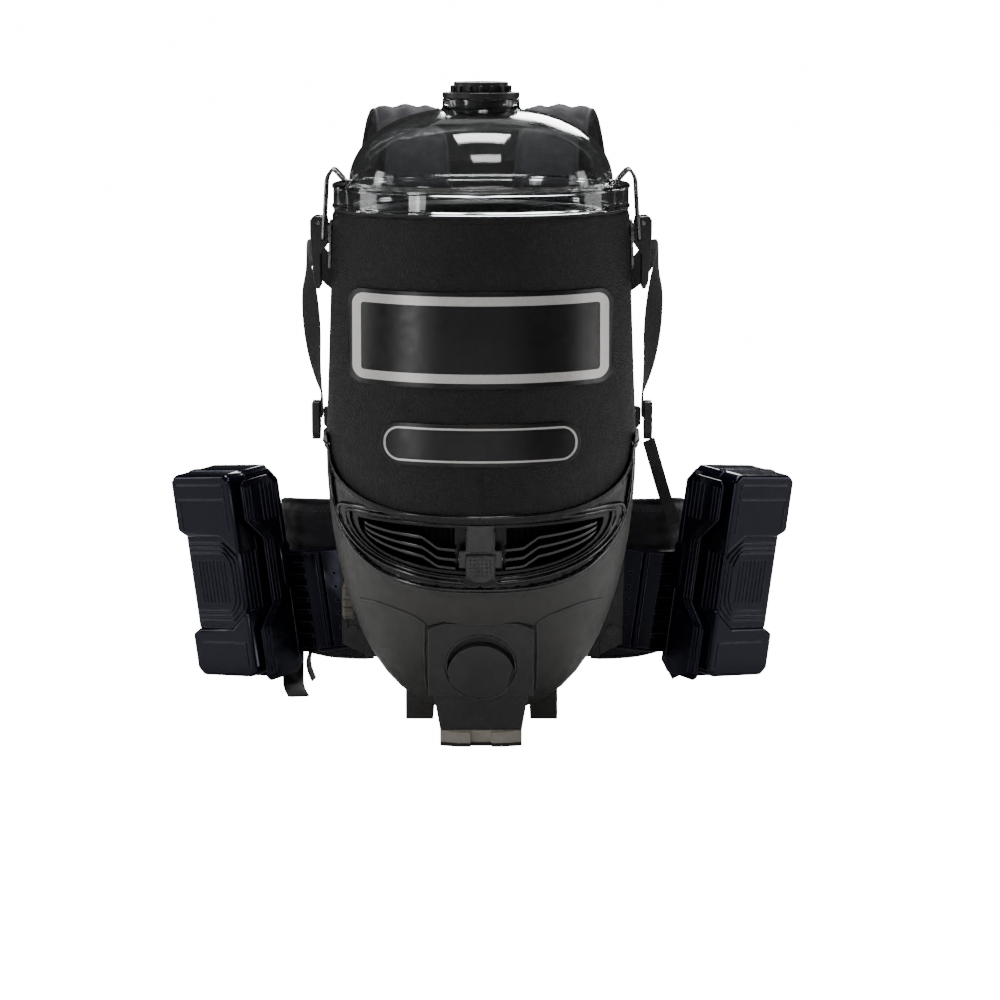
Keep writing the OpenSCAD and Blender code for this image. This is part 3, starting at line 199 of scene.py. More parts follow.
def moulded(name, tone, roughness, grain_scale, grain_depth, mottle=0.12, wear_and_highlight=0.0, shine=0.5,
            tint=(1, 1, 1)):
    """Moulded plastic: mottled colour, uneven sheen, a grain, and edges that are lighter and shinier, as wear
    at low strength and as painted highlights at high strength.
    """
    material, nodes, links, shader = new_material(name)
    cloud = object_noise(nodes, links, 38, 4)
    dark = tuple(c * (1 - mottle) for c in tone)
    light = tuple(min(c * (1 + mottle), 1) for c in tone)
    colour = tone_pair(nodes, links, cloud.outputs["Fac"], dark, light)
    fill(shader, Specular_IOR_Level=shine, Specular_Tint=(*tint, 1))
    # Edges are painted lighter: wear at low strength, painted highlights along raised lines at high strength.
    if wear_and_highlight:
        worn_and_highlit = edge_wear_and_highlight(nodes, links)
        rub_and_highlight = nodes.new("ShaderNodeMix")
        rub_and_highlight.data_type = "RGBA"
        mean = sum(tone) / 3
        rubbed_and_highlit = tuple(min((c + 2 * mean) / 3 * (1 + wear_and_highlight), 1) for c in tone)
        fill(rub_and_highlight, B=(*rubbed_and_highlit, 1))
        links.new(worn_and_highlit, rub_and_highlight.inputs["Factor"])
        links.new(colour, rub_and_highlight.inputs["A"])
        colour = rub_and_highlight.outputs["Result"]
        polish = fill(nodes.new("ShaderNodeMapRange"), To_Min=shine, To_Max=min(3 * shine, 1))
        links.new(worn_and_highlit, polish.inputs["Value"])
        links.new(polish.outputs["Result"], shader.inputs["Specular IOR Level"])
    links.new(colour, shader.inputs["Base Color"])
    handling = object_noise(nodes, links, 90, 5)
    sheen = spread(nodes, links, handling.outputs["Fac"], roughness - 0.05, roughness + 0.06)
    links.new(sheen, shader.inputs["Roughness"])
    grain = object_noise(nodes, links, grain_scale, 3, 0.6)
    bumped(nodes, links, shader, grain.outputs["Fac"], grain_depth)
    return material


def dress(piece, material, body="main"):
    """Gives a finished piece its finish and the body that it moves with."""
    piece.data.materials.clear()
    piece.data.materials.append(material)
    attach(piece, body)
    return piece


def take(piece):
    deselect()
    piece.select_set(True)
    bpy.context.view_layer.objects.active = piece


def edit_all(piece):
    """Opens a piece in edit mode with all of it selected."""
    take(piece)
    bpy.ops.object.mode_set(mode="EDIT")
    bpy.ops.mesh.select_all(action="SELECT")


def apply_modifiers(piece):
    take(piece)
    for modifier in list(piece.modifiers):
        bpy.ops.object.modifier_apply(modifier=modifier.name)


def smooth_by_angle(piece, angle=35):
    take(piece)
    bpy.ops.object.shade_smooth_by_angle(angle=math.radians(angle))


def even_shading(piece):
    """Flat faces keep a flat look beside their rounded edges."""
    even = piece.modifiers.new("even_normals", "WEIGHTED_NORMAL")
    even.keep_sharp = True
    even.weight = 90
    apply_modifiers(piece)


def round_edges(piece, width, segments=2, angle=35):
    """Gives a piece's hard edges a small radius."""
    edge = piece.modifiers.new("edge", "BEVEL")
    edge.width = width
    edge.segments = segments
    edge.limit_method = "ANGLE"
    edge.angle_limit = math.radians(angle)
    edge.use_clamp_overlap = False
    apply_modifiers(piece)
    smooth_by_angle(piece)
    even_shading(piece)


def softened(name, node, material, radius, body="main", segments=2, angle=35):
    """A moulded piece on its solid's own shape, with its hard edges rounded, or only smoothed at radius 0."""
    piece = bpy.data.objects.new(name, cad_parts[node].data.copy())
    bpy.context.scene.collection.objects.link(piece)
    edit_all(piece)
    bpy.ops.mesh.remove_doubles(threshold=0.00001)
    bpy.ops.mesh.dissolve_degenerate(threshold=0.00005)
    if radius:
        bpy.ops.mesh.dissolve_limited(angle_limit=math.radians(0.8))
    bpy.ops.object.mode_set(mode="OBJECT")
    if radius:
        round_edges(piece, radius, segments, angle)
    else:
        smooth_by_angle(piece)
        even_shading(piece)
    dress(piece, material, body)
    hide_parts(node)
    return piece


def finish(material, *names):
    """Gives solids that stay as they are a finish."""
    for name in names:
        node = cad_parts[name]
        node.data.materials.clear()
        node.data.materials.append(material)


def shell_radius(z):
    return rim_r + (belly_r - rim_r) * max((rim_z - z) / (rim_z - belly_z), 0) ** shell_taper


shell_grain = moulded("shell_grain", (0.0068, 0.0068, 0.007), 0.4, 540, 0.0014, mottle=0.16, shine=0.32)
softened("shell", "canister_shell", shell_grain, 0)

deselect()
bpy.ops.mesh.primitive_grid_add(x_subdivisions=2, y_subdivisions=60, size=1)
parting_line = bpy.context.active_object
parting_line.name = "shell_parting_line"
for vertex in parting_line.data.vertices:
    z = parting_low + (vertex.co.y + 0.5) * (rim_z - 0.001 - parting_low)
    proud = parting_proud if abs(vertex.co.x) < 0.1 else -0.0001
    vertex.co = (vertex.co.x * parting_w, canister_y - shell_radius(z) - proud, z)
line_wall = parting_line.modifiers.new("wall", "SOLIDIFY")
line_wall.thickness = 0.0003
line_wall.offset = -1
apply_modifiers(parting_line)
smooth_by_angle(parting_line, 80)
dress(parting_line, shell_grain)


# ---- Badge and oval plate ----
# Two smooth raised plates are moulded on the shell. Each carries a closed border of brushed silver foil,
# a broad one on the badge and a fine one on the oval, and is otherwise bare.

badge_proud = 0.002
oval_proud = 0.0016
foil_t = 0.0004

plate_satin = moulded("plate_satin", (0.0045, 0.0045, 0.0048), 0.34, 1500, 0.00008, shine=0.4)
softened("badge", "badge_plate", plate_satin, 0.0006)
softened("oval", "oval_plate", plate_satin, 0.0006)


def foil_border(name, half_w, low, high, corner, width, proud):
    """A closed border with round corners, laid on the shell's curve."""
    deselect()
    bpy.ops.mesh.primitive_plane_add(size=1)
    border = bpy.context.active_object
    border.name = name
    for vertex in border.data.vertices:
        vertex.co.x *= 2 * half_w
        vertex.co.y *= high - low
    edit_all(border)
    bpy.ops.mesh.bevel(offset=corner, offset_type="OFFSET", segments=10, affect="VERTICES")
    bpy.ops.mesh.select_all(action="SELECT")
    bpy.ops.mesh.inset(thickness=width)
    bpy.ops.mesh.delete(type="FACE")
    steps = 44
    for i in range(1, steps):
        bpy.ops.mesh.select_all(action="SELECT")
        bpy.ops.mesh.bisect(plane_co=(half_w * (2 * i / steps - 1), 0, 0), plane_no=(1, 0, 0))
    bpy.ops.object.mode_set(mode="OBJECT")
    for vertex in border.data.vertices:
        x, z = vertex.co.x, vertex.co.y + (low + high) / 2
        radius = shell_radius(z) + proud
        vertex.co = (x, canister_y - math.sqrt(radius ** 2 - x ** 2), z)
    wall = border.modifiers.new("foil", "SOLIDIFY")
    wall.thickness = 2 * foil_t
    wall.offset = 0
    apply_modifiers(border)
    smooth_by_angle(border, 50)
    return border


silver_foil, nodes, links, shader = new_material("silver_foil")
fill(shader, Metallic=0.45)
brushed = object_noise(nodes, links, 420, 6, 0.6)
links.new(tone_pair(nodes, links, brushed.outputs["Fac"], (0.62, 0.6, 0.57), (0.74, 0.72, 0.69)),
          shader.inputs["Base Color"])
links.new(spread(nodes, links, brushed.outputs["Fac"], 0.36, 0.5), shader.inputs["Roughness"])
bumped(nodes, links, shader, brushed.outputs["Fac"], 0.00003)
badge_border = foil_border("badge_border", half_w=0.1105, low=0.3265, high=0.4, corner=0.0105,
                           width=0.0078, proud=badge_proud)
oval_border = foil_border("oval_border", half_w=0.083, low=0.2588, high=0.2882, corner=0.0138,
                          width=0.0017, proud=oval_proud)
for border in (badge_border, oval_border):
    dress(border, silver_foil)


# ---- Rim gasket and bag ring ----
# A soft black rubber ring lies on the shell's rim and seals the lid. The bag's stiff plastic ring rests
# inside it, with the dark cloth bag sewn to it.

gasket_rubber = moulded("gasket_rubber", (0.01, 0.01, 0.01), 0.65, 900, 0.0001)
softened("gasket", "rim_gasket", gasket_rubber, 0)
ring_satin = moulded("ring_satin", (0.02, 0.02, 0.021), 0.45, 1400, 0.0001)
softened("bag_collar", "bag_ring", ring_satin, 0.0005)
bag_cloth = moulded("bag_cloth", (0.06, 0.058, 0.055), 0.9, 2500, 0.0006, mottle=0.25)
softened("dust_bag", "filter_bag", bag_cloth, 0)


# ---- Lid ----
# A clear polycarbonate dome with a stepped outer band, and a turning cuff for the hose.
# The dome is one thick transparent wall, blown and trimmed, with its neck welded on.

gasket_h = 0.006
band_h = 0.0205
dome_r = 0.1165
dome_h = 0.066
wall_t = 0.003
hose_r = 0.019
cuff_r = hose_r + 0.009
neck_r = cuff_r + 0.006
neck_h = 0.008
neck_fillet = 0.0015
foot_lip = 0.0015
dome_power = 0.77
lid_z = rim_z + gasket_h
band_top = lid_z + band_h
dome_top = band_top + dome_h
band_r = rim_r + 0.0005


def turned(name, profile, steps=128):
    """A closed profile of radius and height, spun round the canister's axis."""
    deselect()
    bpy.ops.mesh.primitive_circle_add(vertices=len(profile), fill_type="NOTHING")
    piece = bpy.context.active_object
    piece.name = name
    for vertex, (radius, height) in zip(piece.data.vertices, profile):
        vertex.co = (radius, canister_y, height)
    edit_all(piece)
    bpy.ops.mesh.spin(steps=steps, angle=math.tau, center=(0, canister_y, 0), axis=(0, 0, 1))
    bpy.ops.mesh.select_all(action="SELECT")
    bpy.ops.mesh.remove_doubles(threshold=0.00002)
    bpy.ops.mesh.select_all(action="SELECT")
    bpy.ops.mesh.normals_make_consistent(inside=False)
    bpy.ops.object.mode_set(mode="OBJECT")
    smooth_by_angle(piece, 32)
    return piece


def dome_curve(inset, low_angle, high_angle, steps):
    """The dome's outline, inset by a wall's thickness."""
    points = []
    for i in range(steps + 1):
        angle = low_angle + (high_angle - low_angle) * i / steps
        points.append(((dome_r - inset) * math.cos(angle) ** dome_power,
                       band_top + (dome_h - inset) * math.sin(angle)))
    return points


def meets_neck(inset, radius):
    """The angle at which the dome's outline reaches a radius."""
    return math.acos((radius / (dome_r - inset)) ** (1 / dome_power))


lid_profile = [
    (dome_r - 0.004, lid_z), (band_r - 0.0005, lid_z), (band_r, lid_z + 0.0005), (band_r, lid_z + 0.0018),
    (band_r - 0.0012, lid_z + 0.003), (band_r - 0.0012, band_top - 0.0042), (band_r, band_top - 0.003),
    (band_r, band_top - 0.0012), (band_r - 0.0012, band_top), (dome_r + foot_lip, band_top)
]
lid_profile += dome_curve(0, 0.03, meets_neck(0, neck_r + neck_fillet), 34)
lid_profile += [
    (neck_r, dome_top + 0.001), (neck_r, dome_top + neck_h - 0.0008), (neck_r - 0.0008, dome_top + neck_h),
    (cuff_r + 0.0008, dome_top + neck_h), (cuff_r + 0.00005, dome_top + neck_h - 0.0008),
    (cuff_r + 0.00005, dome_top - 0.0055), (cuff_r + 0.0006, dome_top - 0.006), (neck_r, dome_top - 0.006)
]
lid_profile += dome_curve(wall_t, meets_neck(wall_t, neck_r + neck_fillet), 0.03, 34)
lid_profile += [
    (dome_r - wall_t, band_top - 0.004), (dome_r - wall_t, lid_z + wall_t), (dome_r - 0.004, lid_z + wall_t)
]
clear_dome = turned("clear_dome", lid_profile, 160)

clear_plastic, nodes, links, shader = new_material("clear_plastic")
fill(shader, Base_Color=(0.93, 0.95, 0.95, 1), Transmission_Weight=1.0, IOR=1.46)
smear = object_noise(nodes, links, 24, 5, 0.6)
links.new(spread(nodes, links, smear.outputs["Fac"], 0.012, 0.06), shader.inputs["Roughness"])
ripple = object_noise(nodes, links, 30, 1)
bumped(nodes, links, shader, ripple.outputs["Fac"], 0.0003)
dress(clear_dome, clear_plastic, "lid")
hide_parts("lid_dome")

cuff_satin = moulded("cuff_satin", (0.016, 0.016, 0.016), 0.42, 1300, 0.00012, wear_and_highlight=1.2)
softened("swivel_cuff", "hose_cuff", cuff_satin, 0.0006, "cuff")


# ---- Toggle latches ----
# A pressed steel bracket is screwed to the shell at each side. A black lever turns in it and draws down a
# bail of dark spring wire that hooks over the lid's band.

lever_x = rim_r + 0.012
lever_z = rim_z - 0.008
lever_w = 0.027
flange_t = 0.0025
wire_r = 0.0015
bail_x = lever_x - 0.004
bail_z = lever_z - 0.014

wire_steel, nodes, links, shader = new_material("wire_steel")
fill(shader, Metallic=1.0)
scratches = object_noise(nodes, links, 260, 5)
links.new(tone_pair(nodes, links, scratches.outputs["Fac"], (0.15, 0.15, 0.155), (0.3, 0.3, 0.31)),
          shader.inputs["Base Color"])
links.new(spread(nodes, links, scratches.outputs["Fac"], 0.2, 0.38), shader.inputs["Roughness"])
bumped(nodes, links, shader, scratches.outputs["Fac"], 0.00005)
softened("lever_brackets", "latch_brackets", wire_steel, 0.0003)
finish(wire_steel, "door_latch_pin")

lever_satin = moulded("lever_satin", (0.014, 0.014, 0.014), 0.34, 1500, 0.0001, wear_and_highlight=1.5)
softened("toggle_left", "lever_left", lever_satin, 0.0007, "lever_left_body")
softened("toggle_right", "lever_right", lever_satin, 0.0007, "lever_right_body")


def mirrored(piece, name):
    """The same piece for the other side, with its own mesh."""
    twin = bpy.data.objects.new(name, piece.data.copy())
    bpy.context.scene.collection.objects.link(twin)
    twin.data.transform(Matrix.Scale(-1, 4, (1, 0, 0)))
    twin.data.flip_normals()
    return twin


def tube(name, points, radius, rings, closed, angle):
    """A round tube along the points, closed on itself or capped at both ends."""
    curve = bpy.data.curves.new(name, "CURVE")
    curve.dimensions = "3D"
    curve.bevel_depth = radius
    curve.bevel_resolution = rings
    curve.use_fill_caps = not closed
    spline = curve.splines.new("POLY")
    spline.points.add(len(points) - 1)
    for point, place in zip(spline.points, points):
        point.co = (*place, 1)
    spline.use_cyclic_u = closed
    piece = bpy.data.objects.new(name, curve)
    bpy.context.scene.collection.objects.link(piece)
    take(piece)
    bpy.ops.object.convert(target="MESH")
    piece = bpy.context.active_object
    smooth_by_angle(piece, angle)
    return piece


def wire(name, points, radius, rings=5):
    """Round wire bent through the points, each bend with its own small radius."""
    bends = []
    last = len(points) - 1
    for i, p in enumerate(points):
        p = Vector(p)
        if i in (0, last):
            bends.append(p)
            continue
        before, after = Vector(points[i - 1]) - p, Vector(points[i + 1]) - p
        reach = min(2.6 * radius, 0.45 * before.length, 0.45 * after.length)
        start, end = p + before.normalized() * reach, p + after.normalized() * reach
        for k in range(7):
            t = k / 6
            bends.append((1 - t) ** 2 * start + 2 * t * (1 - t) * p + t * t * end)
    return tube(name, bends, radius, rings, False, 50)


leg_y = lever_w / 2 + 0.0006 + wire_r
side_path = [
    (bail_x, bail_z), (band_r + 0.0042, band_top + 0.005), (band_r - 0.0015, band_top + 0.0135),
    (dome_r + 0.0032, band_top + wire_r + 0.0006)
]
pivot_y = lever_w / 2 - flange_t + 0.0003
bail_points = [(bail_x, canister_y - pivot_y, bail_z)]
bail_points += [(x, canister_y - leg_y, z) for x, z in side_path]
bail_points += [(x, canister_y + leg_y, z) for x, z in reversed(side_path)]
bail_points += [(bail_x, canister_y + pivot_y, bail_z)]
right_bail = wire("wire_bail_right", bail_points, wire_r)
left_bail = mirrored(right_bail, "wire_bail_left")
for bail, node in ((left_bail, "bail_left"), (right_bail, "bail_right")):
    dress(bail, wire_steel, node + "_body")
    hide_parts(node)


# ---- Exhaust ----
# A satin collar laps over the shell and the bowl, with raised rims round its opening. The pull-out door holds
# three fanned blades a side that step down beside the latch. A sprung thumb latch with a dimpled pad holds it
# shut, and a pleated filter lies behind it.

bowl_z = 0.016
bowl_power = 0.37
vent_top = 0.2045
vent_h = 0.045
vent_rise = 0.003
vent_half_w = 0.114
vent_power = 2.2
rim_gap = 0.0003
rim_w = 0.0036
rim_front = -0.0004
door_back = -0.0145
blade_shares = (0.31, 0.55, 0.77)
blade_out = 0.1035
blade_in = 0.0215
blade_drop = 0.24
drop_start = 0.050
drop_run = 0.013
blade_front = -0.0022
blade_deep = 0.012
blade_t = 0.0026
bay_half_w = 0.0205
latch_z = 0.1745
latch_face = 0.1385
pad_clear = 0.0155
pad_half_w = 0.0125
collar_dip = 0.1145
lip_h = 0.003


def face_outwards(piece):
    edit_all(piece)
    bpy.ops.mesh.normals_make_consistent(inside=False)
    bpy.ops.object.mode_set(mode="OBJECT")


def join(pieces, name):
    deselect()
    for piece in pieces:
        piece.select_set(True)
    bpy.context.view_layer.objects.active = pieces[0]
    bpy.ops.object.join()
    whole = bpy.context.active_object
    whole.name = name
    whole.data.name = name
    return whole


def smooth_path(points, steps):
    """A Catmull-Rom curve through the points, with so many steps to each stretch."""
    last = len(points) - 1
    curve = []
    for i in range(last):
        a, b = Vector(points[max(i - 1, 0)]), Vector(points[i])
        c, d = Vector(points[i + 1]), Vector(points[min(i + 2, last)])
        for k in range(steps):
            t = k / steps
            curve.append(0.5 * (2 * b + (c - a) * t + (2 * a - 5 * b + 4 * c - d) * t * t
                                + (3 * b - a - 3 * c + d) * t ** 3))
    curve.append(Vector(points[last]))
    return curve


def piping(name, points, radius):
    """A bound rim: a soft round tube closed on itself."""
    return tube(name, points, radius, 2, True, 80)


def outline_solid(name, outline, low, high, edge, segments=3, sideways=False):
    """A block with rounded edges. Its outline is across and up, and it runs outwards from low to high.
    Sideways, its outline is out and up, and it runs across."""
    deselect()
    bpy.ops.mesh.primitive_circle_add(vertices=len(outline), fill_type="NGON")
    piece = bpy.context.active_object
    piece.name = name
    for vertex, (a, z) in zip(piece.data.vertices, outline):
        vertex.co = (low, -a, z) if sideways else (a, -low, z)
    run = (high - low, 0, 0) if sideways else (0, low - high, 0)
    edit_all(piece)
    bpy.ops.mesh.extrude_region_move(TRANSFORM_OT_translate={"value": run})
    bpy.ops.mesh.select_all(action="SELECT")
    bpy.ops.mesh.normals_make_consistent(inside=False)
    bpy.ops.object.mode_set(mode="OBJECT")
    round_edges(piece, edge, segments)
    return piece


def dome_stud(place, radius):
    """A low round stud that faces forwards."""
    deselect()
    bpy.ops.mesh.primitive_uv_sphere_add(segments=10, ring_count=6, radius=radius, location=place)
    piece = bpy.context.active_object
    piece.scale = (1, 0.6, 1)
    bpy.ops.object.transform_apply(location=True, rotation=True, scale=True)
    smooth_by_angle(piece, 80)
    return piece


def even_path(curve, spacing):
    """The same curve with its points an even distance apart."""
    lengths = [0.0]
    for p, q in zip(curve, curve[1:]):
        lengths.append(lengths[-1] + (q - p).length)
    count = max(2, round(lengths[-1] / spacing))
    points, k = [], 0
    for i in range(count + 1):
        goal = lengths[-1] * i / count
        while k < len(curve) - 2 and lengths[k + 1] < goal:
            k += 1
        share = (goal - lengths[k]) / max(lengths[k + 1] - lengths[k], 1e-9)
        points.append(curve[k].lerp(curve[k + 1], min(share, 1.0)))
    return points


def bowl_radius(z):
    return belly_r * max(1 - ((belly_z - z) / (belly_z - bowl_z)) ** 2, 0) ** bowl_power


def on_canister(x, z, proud=0.0):
    """A point on the canister's outside, so far proud of it."""
    radius = (shell_radius(z) if z > belly_z else bowl_radius(z)) + proud
    return Vector((x, canister_y - math.sqrt(max(radius ** 2 - x ** 2, 0)), z))


def vent_upper(x, grow):
    return vent_top + vent_rise * abs(x) / vent_half_w + grow


def vent_lower(x, grow):
    half = vent_half_w + 2 * grow
    end = vent_upper(half, grow)
    low = vent_top - vent_h - grow
    return end - (end - low) * max(1 - abs(x / half) ** vent_power, 0) ** (1 / vent_power)


def vent_loop(grow, steps=44):
    """The opening's outline, grown or shrunk, once round from its left end."""
    half = vent_half_w + 2 * grow
    across = [half * math.sin(math.pi * i / steps - math.pi / 2) for i in range(steps + 1)]
    lower = [(x, vent_lower(x, grow)) for x in across]
    upper = [(x, vent_upper(x, grow)) for x in reversed(across[1:-1])]
    return lower + upper


def swept_bar(name, rails, closed):
    """A bar whose four corners follow rails of points, closed on itself or filled at both ends."""
    count = len(rails[0])
    stations = count if closed else count - 1
    deselect()
    bpy.ops.mesh.primitive_grid_add(x_subdivisions=stations, y_subdivisions=4, size=1)
    piece = bpy.context.active_object
    piece.name = name
    for vertex in piece.data.vertices:
        station = round((vertex.co.x + 0.5) * stations)
        rail = round((vertex.co.y + 0.5) * 4)
        vertex.co = rails[rail % 4][station % count]
    edit_all(piece)
    bpy.ops.mesh.remove_doubles(threshold=0.000001)
    if not closed:
        bpy.ops.mesh.select_all(action="SELECT")
        bpy.ops.mesh.fill_holes(sides=4)
    face_outwards(piece)
    return piece


def vent_rim():
    """The door's rim, between its outer outline and its opening."""
    outer, inner = vent_loop(-rim_gap), vent_loop(-rim_w)
    corners = ((outer, rim_front), (inner, rim_front), (inner, door_back), (outer, door_back))
    rails = [[on_canister(x, z, proud) for x, z in loop] for loop, proud in corners]
    rim = swept_bar("vent_rim", rails, True)
    round_edges(rim, 0.0007)
    return rim


def vent_blade(share, side):
    """One blade, from the fan's outer end to the latch. It steps down before the latch and slopes back."""
    rails = [[], [], [], []]
    steps = 40
    for i in range(steps + 1):
        x = blade_out - (blade_out - blade_in) * i / steps
        step = min(max((drop_start - x) / drop_run, 0), 1)
        t = share + blade_drop * (1 - 0.35 * share) * step
        z = vent_upper(x, -0.003) * (1 - t) + vent_lower(x, -0.003) * t
        z += 0.0006 * math.sin(math.pi * i / steps)
        front = blade_front - 0.004 * (i / steps < 0.02)
        back = front - blade_deep
        rails[0].append(on_canister(side * x, z + blade_t / 2, front))
        rails[1].append(on_canister(side * x, z - blade_t / 2, front))
        rails[2].append(on_canister(side * x, z - blade_t / 2 + 0.0025, back))
        rails[3].append(on_canister(side * x, z + blade_t / 2 + 0.0025, back))
    blade = swept_bar("vent_blade", rails, False)
    round_edges(blade, 0.0005)
    return blade


def bay_wall(name, near, far, front):
    """An upright wall behind the latch, between two places across, back to the door's back."""
    rails = [[], [], [], []]
    for i in range(13):
        z = vent_top - 0.0035 - (vent_h - 0.0065) * i / 12
        for rail, x, proud in zip(rails, (near, far, far, near), (front, front, door_back, door_back)):
            rail.append(on_canister(x, z, proud))
    return swept_bar(name, rails, False)


collar_satin = moulded("collar_satin", (0.0048, 0.0048, 0.0046), 0.25, 1500, 0.00004, shine=0.4)
bead_satin = moulded("bead_satin", (0.0055, 0.0055, 0.0052), 0.17, 1500, 0.00002, shine=0.9)
softened("collar", "exhaust_collar", collar_satin, 0)


def bead_loop(grow, turns):
    """A loop round the vent on the collar's face. Each turn of smoothing rounds its two ends off more, and
    under the latch it sinks into the collar."""
    flat = [Vector((x, 0, z)) for x, z in vent_loop(grow, 64)]
    track = even_path(flat + flat[:1], 0.002)[:-1]
    for _ in range(turns):
        track = [(track[i - 1] + 2 * p + track[(i + 1) % len(track)]) / 4 for i, p in enumerate(track)]
    points = []
    for p in track:
        under_latch = p.z < latch_z and abs(p.x) < pad_clear
        points.append(on_canister(p.x, p.z, -0.0022 if under_latch else 0.0011))
    return points


beads = [("vent_inner_bead", 0.0028, 14, 0.0012), ("vent_outer_bead", 0.0064, 26, 0.0019)]
for name, grow, turns, radius in beads:
    rim_bead = piping(name, bead_loop(grow, turns), radius)
    dress(rim_bead, bead_satin)


def collar_edge():
    """A closed track along the middle of the collar's lower lip, all round the canister."""
    steps = 260
    track = []
    for k in range(steps):
        angle = math.tau * k / steps
        x = belly_r * math.sin(angle)
        # A few rounds settle the lip's height and its radius on each other.
        for _ in range(4):
            across = max(1 - (abs(x) / (belly_r - 0.005)) ** 3, 0) ** (1 / 3)
            z = belly_z - collar_dip * across + lip_h / 2
            radius = (shell_radius(z) if z > belly_z else bowl_radius(z)) + 0.0013
            x = radius * math.sin(angle)
        track.append(Vector((x, canister_y - radius * math.cos(angle), z)))
    return even_path(track + track[:1], 0.002)[:-1]


lip_roll = piping("collar_lip_roll", collar_edge(), 0.0022)
dress(lip_roll, bead_satin)
bay = [bay_wall("bay_cheek", side * 0.0203, side * 0.0221, -0.0085) for side in (-1, 1)]
bay.append(bay_wall("bay_floor", -bay_half_w, bay_half_w, -0.0120))
vent_frame = join([vent_rim()] + bay, "vent_frame")
dress(vent_frame, collar_satin, "exhaust_door")
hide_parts("door_frame")
vent_blades = join([vent_blade(share, side) for share in blade_shares for side in (-1, 1)], "vent_blades")
dress(vent_blades, bead_satin, "exhaust_door")
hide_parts("louvre_blades")

latch_satin = moulded("latch_satin", (0.0075, 0.0075, 0.0078), 0.3, 1500, 0.00003, shine=0.55)
softened("vent_latch", "door_latch", latch_satin, 0.0008, "thumb_latch", 3)
pad_outline = [(-pad_half_w, latch_z + 0.0035)]
for k in range(13):
    angle = math.pi * k / 12
    pad_outline.append((-pad_half_w * math.cos(angle), latch_z - 0.0100 - 0.0098 * math.sin(angle)))
pad_outline.append((pad_half_w, latch_z + 0.0035))
face_out = -canister_y + latch_face
thumb_pad = outline_solid("thumb_pad", pad_outline, face_out - 0.0004, face_out + 0.0014, 0.0010)
dimples = []
for row in range(5):
    for column in range(6):
        x = -0.0085 + 0.0034 * column
        z = latch_z + 0.0005 - 0.0034 * row
        if row == 4 and column in (0, 5):
            continue
        dimples.append(dome_stud((x, -face_out - 0.0012, z), 0.00105))
hood = outline_solid("latch_hood", [
    (-0.0115, vent_top + 0.0005), (-0.0115, latch_z + 0.012), (-0.009, latch_z + 0.0065),
    (0.009, latch_z + 0.0065), (0.0115, latch_z + 0.012), (0.0115, vent_top + 0.0005)
], face_out - 0.0045, face_out - 0.0006, 0.0008)
thumb_piece = join([thumb_pad, hood] + dimples, "thumb_piece")
dress(thumb_piece, latch_satin, "thumb_latch")
filter_paper = moulded("filter_paper", (0.012, 0.012, 0.0115), 0.9, 1800, 0.0002)
finish(filter_paper, "exhaust_filter")


# ---- Base ----
# A satin bowl with moulded ribs in a lighter tone, as painted highlights, and a soft shoulder line holds a
# recessed service panel with its round turning cap. It stands on a foot of olive-grey plastic with a rubber
# sole and on a rear cradle of the same olive plastic painted far darker, as painted shade, and a grey knob
# turns at its side.

bowl_satin = moulded("bowl_satin", (0.045, 0.0442, 0.0417), 0.42, 900, 0.00025, wear_and_highlight=0.5)
softened("bowl", "lower_bowl", bowl_satin, 0.0006)
panel_satin = moulded("panel_satin", (0.040, 0.0404, 0.0404), 0.42, 900, 0.0002, wear_and_highlight=0.6)
softened("panel", "service_panel", panel_satin, 0.0011, segments=3)
# The ribs are painted a lighter tone than the bowl, as painted highlights along them.
rib_highlight_satin = moulded("rib_highlight_satin", (0.05, 0.049, 0.047), 0.36, 900, 0.0001)
ribs = []
for side in (-1, 1):
    rib = [(0.0482, 0.1135), (0.0487, 0.098), (0.0488, 0.080), (0.0485, 0.062), (0.0478, 0.048)]
    shoulder = [(0.0482, 0.1135), (0.058, 0.1195), (0.070, 0.1235), (0.082, 0.1265), (0.094, 0.128),
                (0.106, 0.127)]
    for line in (rib, shoulder):
        track = smooth_path([on_canister(side * x, z, -0.0002) for x, z in line], 8)
        ribs.append(wire("rib", track, 0.0012, 3))
bowl_ribs = join(ribs, "bowl_ribs")
dress(bowl_ribs, rib_highlight_satin)
cap_satin = moulded("cap_satin", (0.044, 0.0432, 0.0432), 0.38, 1500, 0.00012, wear_and_highlight=0.8)
softened("lead_cap", "swivel_cap", cap_satin, 0.0007, "cap")
foot_olive = moulded("foot_olive", (0.36, 0.335, 0.29), 0.5, 1100, 0.0002)
softened("foot", "foot_block", foot_olive, 0.0009)
# The cradle is the foot's olive plastic painted far darker, as painted shade for the shadow it stands in.
cradle_shaded_olive = moulded("cradle_shaded_olive", (0.05, 0.047, 0.04), 0.5, 1100, 0.0002)
softened("cradle", "rear_cradle", cradle_shaded_olive, 0.0008)
knob_plastic = moulded("knob_plastic", (0.13, 0.122, 0.10), 0.48, 1400, 0.00012)
softened("side_knob", "lock_knob", knob_plastic, 0.0032, "knob", 4, 60)
sole_rubber = moulded("sole_rubber", (0.012, 0.012, 0.012), 0.7, 900, 0.0002)
finish(sole_rubber, "foot_sole", "motor_seal", "motor_mount")


# ---- Motor ----
# The motor with its cast housing and fan sits in a plastic deck inside the bowl, under a foam filter and near
# its control board. The shell and the bowl hide them all, so their solids only get their finishes.

